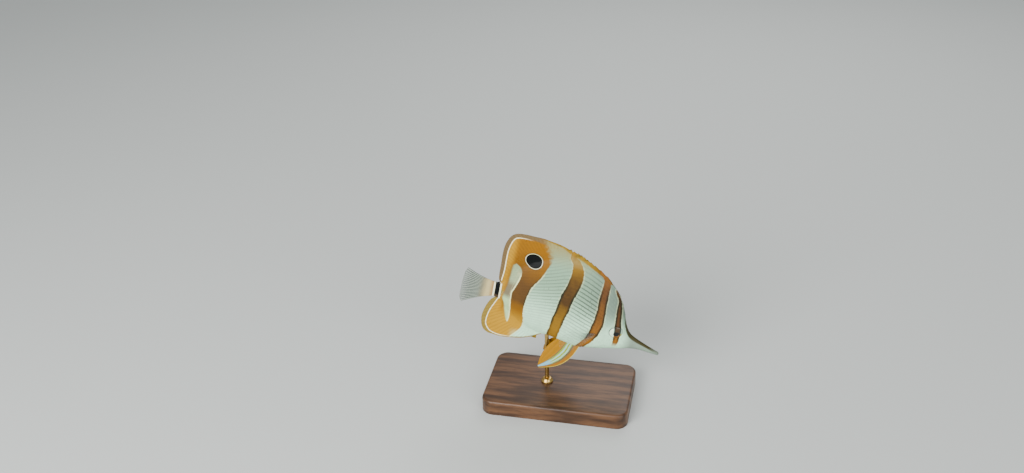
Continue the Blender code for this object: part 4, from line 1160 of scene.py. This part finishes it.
def pelvic(side_name, side, material):
    """A spine and five rays, splayed from the belly and swept back to one point."""
    splay = math.radians(PELVIC_SPLAY)
    front, rear = PELVIC_ROOT
    tip = path([(46.4, 25.2), (45.6, 24.4), (45.2, 22.4)])
    bulge = curve([(0, -5.3), (0.3, -4.2), (0.6, -1.9), (1, 2.6)])

    def lay(s, t):
        root = front + (rear - front) * s
        a, down, _ = fan(s, t, (root, 0 * root), tip(s), 1.6, bow=bulge(s))
        start = belly_below(np.maximum(a, rear), PELVIC_ROOT_OUT + 0 * a) - GAP * 1.35
        b = start - down * math.cos(splay)
        c = PELVIC_ROOT_OUT + down * math.sin(splay)
        return place(a, b, c * side)

    def half(s, t, phase):
        return 0.16 + 0.3 * np.exp(-t / 0.15) + 0.18 * ridge(phase) * (1 - 0.8 * t)

    return side_fin(f"pelvic_web_{side_name}", f"pelvic_fin_{side_name}", material, 6, 14,
                    40, lay, half)


PUPIL_FORWARD = 0.06


def eye_material():
    """Black pupil in a silvery iris, crossed by the dark eye bar."""
    recipe = Recipe("eye_gloss")
    u, v, _ = recipe.read("disc")

    def off(centre_u, centre_v):
        """Distance from a place of the disc."""
        across = recipe.math("POWER", recipe.math("ADD", u, -centre_u), 2.0)
        upright = recipe.math("POWER", recipe.math("ADD", v, -centre_v), 2.0)
        return recipe.math("POWER", recipe.math("ADD", across, upright), 0.5)

    far = off(-0.12, -0.02)
    fibres = recipe.step(recipe.noise(900.0, 3.0), 0.3, 0.7)
    iris = recipe.mix(fibres, (0.6, 0.85, 0.6), (0.8, 0.95, 0.75))
    low_front = recipe.step(off(0.72, -0.2), 0.3, 0.12)
    lid = recipe.mix(low_front, (0.3, 0.42, 0.31), (0.5, 0.46, 0.09))
    slant = recipe.math("MULTIPLY_ADD", v, 0.16, u)
    bar = recipe.math("ABSOLUTE", recipe.math("ADD", slant, -0.2))
    upper = recipe.step(v, -0.45, -0.25)
    brown = recipe.mix(recipe.step(v, 0.0, -0.35), (0.05, 0.028, 0.012), (0.19, 0.08, 0.018))
    rim = recipe.step(recipe.math("ABSOLUTE", recipe.math("ADD", far, -0.84)), 0.06, 0.02)
    iris = recipe.mix(recipe.step(far, 0.82, 0.86), iris, lid)
    iris = recipe.mix(recipe.math("MULTIPLY", rim, recipe.step(u, 0.6, 0.0)), iris, (0.03, 0.04, 0.035))
    iris = recipe.mix(recipe.step(bar, 0.54, 0.46), iris, brown)
    edge = recipe.math("MULTIPLY", recipe.step(bar, 0.26, 0.42), recipe.step(bar, 0.56, 0.48))
    iris = recipe.mix(recipe.math("MULTIPLY", edge, upper), iris, (0.01, 0.015, 0.015))
    pupil = recipe.step(off(PUPIL_FORWARD, -0.12), 0.46, 0.4)
    glint = recipe.math("MULTIPLY", pupil, recipe.step(v, 0.3, 0.1))
    colour = recipe.mix(glint, iris, (0.004, 0.005, 0.006))
    recipe.look(Base_Color=colour, Roughness=0.25, Coat_Weight=0.3, Coat_Roughness=0.03,
                Specular_IOR_Level=0.15)
    return recipe.material


def eye(side_name, side, material):
    """A lens in its socket: a sphere flattened more behind than in front."""
    deselect()
    bpy.ops.mesh.primitive_uv_sphere_add(segments=96, ring_count=48, radius=1)
    obj = bpy.context.object
    obj.name = f"eyeball_{side_name}"
    flat = np.empty(len(obj.data.vertices) * 3)
    obj.data.vertices.foreach_get("co", flat)
    u, v, w = flat.reshape(-1, 3).T
    give(obj.data, "disc", np.stack([u, v, w], axis=-1))
    yaw = math.radians(EYE_YAW)
    forward = u * (EYE_RADIUS - 0.05)
    outward = np.where(w > 0, w * EYE_BULGE, w * EYE_DEPTH)
    a = EYE[0] + forward * math.cos(yaw) + outward * math.sin(yaw)
    c = EYE[2] - forward * math.sin(yaw) + outward * math.cos(yaw)
    set_places(obj, place(a, EYE[1] + v * (EYE_RADIUS - 0.05), c * side))
    outwards(obj)
    obj.data.materials.append(material)
    smooth(obj, 80)
    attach(obj, "root")
    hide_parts(f"eye_{side_name}")
    return obj


def wood_material():
    recipe = Recipe("walnut")
    grain = recipe.noise(1.0, 6.0, stretch=(26, 210, 210))
    pores = recipe.noise(1.0, 3.0, stretch=(120, 1600, 1600))
    colour = recipe.mix(recipe.step(grain, 0.3, 0.7), (0.035, 0.016, 0.008), (0.13, 0.06, 0.026))
    colour = recipe.mix(recipe.math("MULTIPLY", recipe.step(pores, 0.55, 0.7), 0.5), colour,
                        (0.015, 0.007, 0.004))
    recipe.look(Base_Color=colour, Roughness=0.42, Specular_IOR_Level=0.3, Coat_Weight=0.1,
                Coat_Roughness=0.25)
    recipe.bump(pores, 0.05, 0.3)
    return recipe.material


def brass_material():
    recipe = Recipe("satin_brass")
    brushed = recipe.noise(1.0, 2.0, stretch=(300, 300, 4000))
    colour = recipe.mix(recipe.step(brushed, 0.3, 0.7), (0.42, 0.26, 0.07), (0.6, 0.4, 0.13))
    rough = recipe.math("MULTIPLY_ADD", brushed, 0.14, 0.24)
    recipe.look(Base_Color=colour, Metallic=1.0, Roughness=rough)
    recipe.bump(brushed, 0.01, 0.3)
    return recipe.material


def plinth(material):
    """The base: a cube rounded at its corners and softened round its top edge."""
    low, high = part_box("stand_base")
    deselect()
    bpy.ops.mesh.primitive_cube_add(size=1, location=(low + high) / 2, scale=high - low)
    obj = bpy.context.object
    obj.name = "walnut_plinth"
    only(obj)
    bpy.ops.object.transform_apply(location=True, rotation=True, scale=True)
    shape = bmesh.new()
    shape.from_mesh(obj.data)
    uprights = [e for e in shape.edges if abs(e.verts[0].co.z - e.verts[1].co.z) > 1e-4]
    bmesh.ops.bevel(shape, geom=uprights, offset=BASE_CORNER * MM, segments=12, profile=0.5,
                    affect="EDGES")
    top = [e for e in shape.edges if all(v.co.z > high.z - 1e-5 for v in e.verts)]
    bmesh.ops.bevel(shape, geom=top, offset=BASE_CHAMFER * MM, segments=5, profile=0.5,
                    affect="EDGES")
    shape.to_mesh(obj.data)
    shape.free()
    outwards(obj)
    obj.data.materials.append(material)
    smooth(obj, 35)
    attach(obj, "root")
    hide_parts("stand_base")
    return obj


def turned_brass(name, node, profile, material):
    """A brass piece spun round the node's upright axis from (radius, height) pairs."""
    low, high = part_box(node)
    centre = (low + high) / 2
    deselect()
    bpy.ops.mesh.primitive_circle_add(vertices=len(profile), radius=1)
    obj = bpy.context.object
    obj.name = name
    points = [(centre.x + r * MM, centre.y, low.z + h * MM) for r, h in profile]
    set_places(obj, points)
    only(obj)
    bpy.ops.object.mode_set(mode="EDIT")
    bpy.ops.mesh.select_all(action="SELECT")
    bpy.ops.mesh.spin(steps=64, angle=2 * math.pi, center=centre, axis=(0, 0, 1))
    bpy.ops.object.mode_set(mode="OBJECT")
    outwards(obj, merge=1e-6)
    obj.data.materials.append(material)
    smooth(obj, 35)
    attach(obj, "root")
    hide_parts(node)
    return obj


def stand(wood, brass):
    plinth(wood)
    low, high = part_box("stand_rod")
    radius = (high.x - low.x) / 2 / MM
    tall = (high.z - low.z) / MM
    turned_brass("brass_rod", "stand_rod",
                 [(0.0, 0), (radius, 0), (radius, tall - 0.6), (radius - 0.6, tall), (0.0, tall)],
                 brass)
    low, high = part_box("stand_collar")
    outer = (high.x - low.x) / 2 / MM
    tall = (high.z - low.z) / MM
    section = [(radius + 0.1, 0), (outer, 0), (outer, tall * 0.3), (outer - 0.5, tall * 0.42),
               (outer - 0.9, tall * 0.7), (outer - 1.5, tall * 0.92), (radius + 0.5, tall),
               (radius + 0.1, tall - 0.3)]
    turned_brass("brass_collar", "stand_collar", section, brass)


FLOOR_GREY = (0.55, 0.57, 0.55)


def floor():
    deselect()
    bpy.ops.mesh.primitive_plane_add(size=6, location=(0, 0, -0.0002))
    obj = bpy.context.object
    obj.name = "floor"
    recipe = Recipe("pale_floor")
    recipe.look(Base_Color=FLOOR_GREY, Roughness=0.8)
    obj.data.materials.append(recipe.material)


def soft_light(name, where, size, power, aim):
    light = bpy.data.lights.new(name, "AREA")
    light.shape = "SQUARE"
    light.size = size
    light.energy = power
    obj = bpy.data.objects.new(name, light)
    bpy.context.scene.collection.objects.link(obj)
    obj.location = where
    obj.rotation_mode = "QUATERNION"
    obj.rotation_quaternion = (Vector(aim) - Vector(where)).to_track_quat("-Z", "Y")


def studio():
    middle = (0, 0, 0.09)
    soft_light("key", (-0.5, -1.05, 0.7), 0.8, 28, middle)
    soft_light("fill", (0.9, -0.9, 0.4), 0.9, 12, middle)
    soft_light("back", (0.1, 0.9, 0.9), 0.8, 6, middle)
    world = bpy.data.worlds.new("pale_room")
    bpy.context.scene.world = world
    world.use_nodes = True
    sky = world.node_tree.nodes["Background"]
    sky.inputs["Color"].default_value = (0.94, 0.98, 1.0, 1)
    sky.inputs["Strength"].default_value = 0.5


# The camera: the photo's angle and framing, its picture taken as 1024 by 473
PICTURE = (1024, 473)
CAMERA_AZIMUTH = 10.0
CAMERA_ELEVATION = 32.0
CAMERA_DISTANCE = 0.8
FOCUS_PIXELS = 1075.0
SENSOR = 36.0
AIM_PLACE = (48, 8, 0)
AIM_PIXEL = (561.2, 299.1)


def camera():
    """Looks so that the aimed place of the fish lands on its pixel of the photo."""
    turn, rise = math.radians(CAMERA_AZIMUTH), math.radians(CAMERA_ELEVATION)
    back = Vector((math.sin(turn) * math.cos(rise), -math.cos(turn) * math.cos(rise),
                   math.sin(rise)))
    seen = Vector((AIM_PIXEL[0] - PICTURE[0] / 2, PICTURE[1] / 2 - AIM_PIXEL[1], -FOCUS_PIXELS))
    tilt = Vector((0, 0, -1)).rotation_difference(seen.normalized())
    data = bpy.data.cameras.new("camera")
    data.sensor_width = SENSOR
    data.lens = SENSOR * FOCUS_PIXELS / PICTURE[0]
    obj = bpy.data.objects.new("camera", data)
    bpy.context.scene.collection.objects.link(obj)
    obj.location = Vector(place(*AIM_PLACE)) + back * CAMERA_DISTANCE
    obj.rotation_mode = "QUATERNION"
    obj.rotation_quaternion = (-back).to_track_quat("-Z", "Y") @ tilt.inverted()
    bpy.context.scene.camera = obj


camera()
studio()
floor()
skin(skin_material())
coat = scale_material()
scales("scales_right", 1, 11, coat)
scales("scales_left", -1, 12, coat)
gold = fin_material()
spiny_dorsal(gold)
soft_dorsal(gold)
anal(gold)
tail_fin(clear_material())
clear = pectoral_material()
banded = pelvic_material()
lens = eye_material()
for side_name, side in (("right", 1), ("left", -1)):
    pectoral(side_name, side, clear)
    pelvic(side_name, side, banded)
    eye(side_name, side, lens)
stand(wood_material(), brass_material())
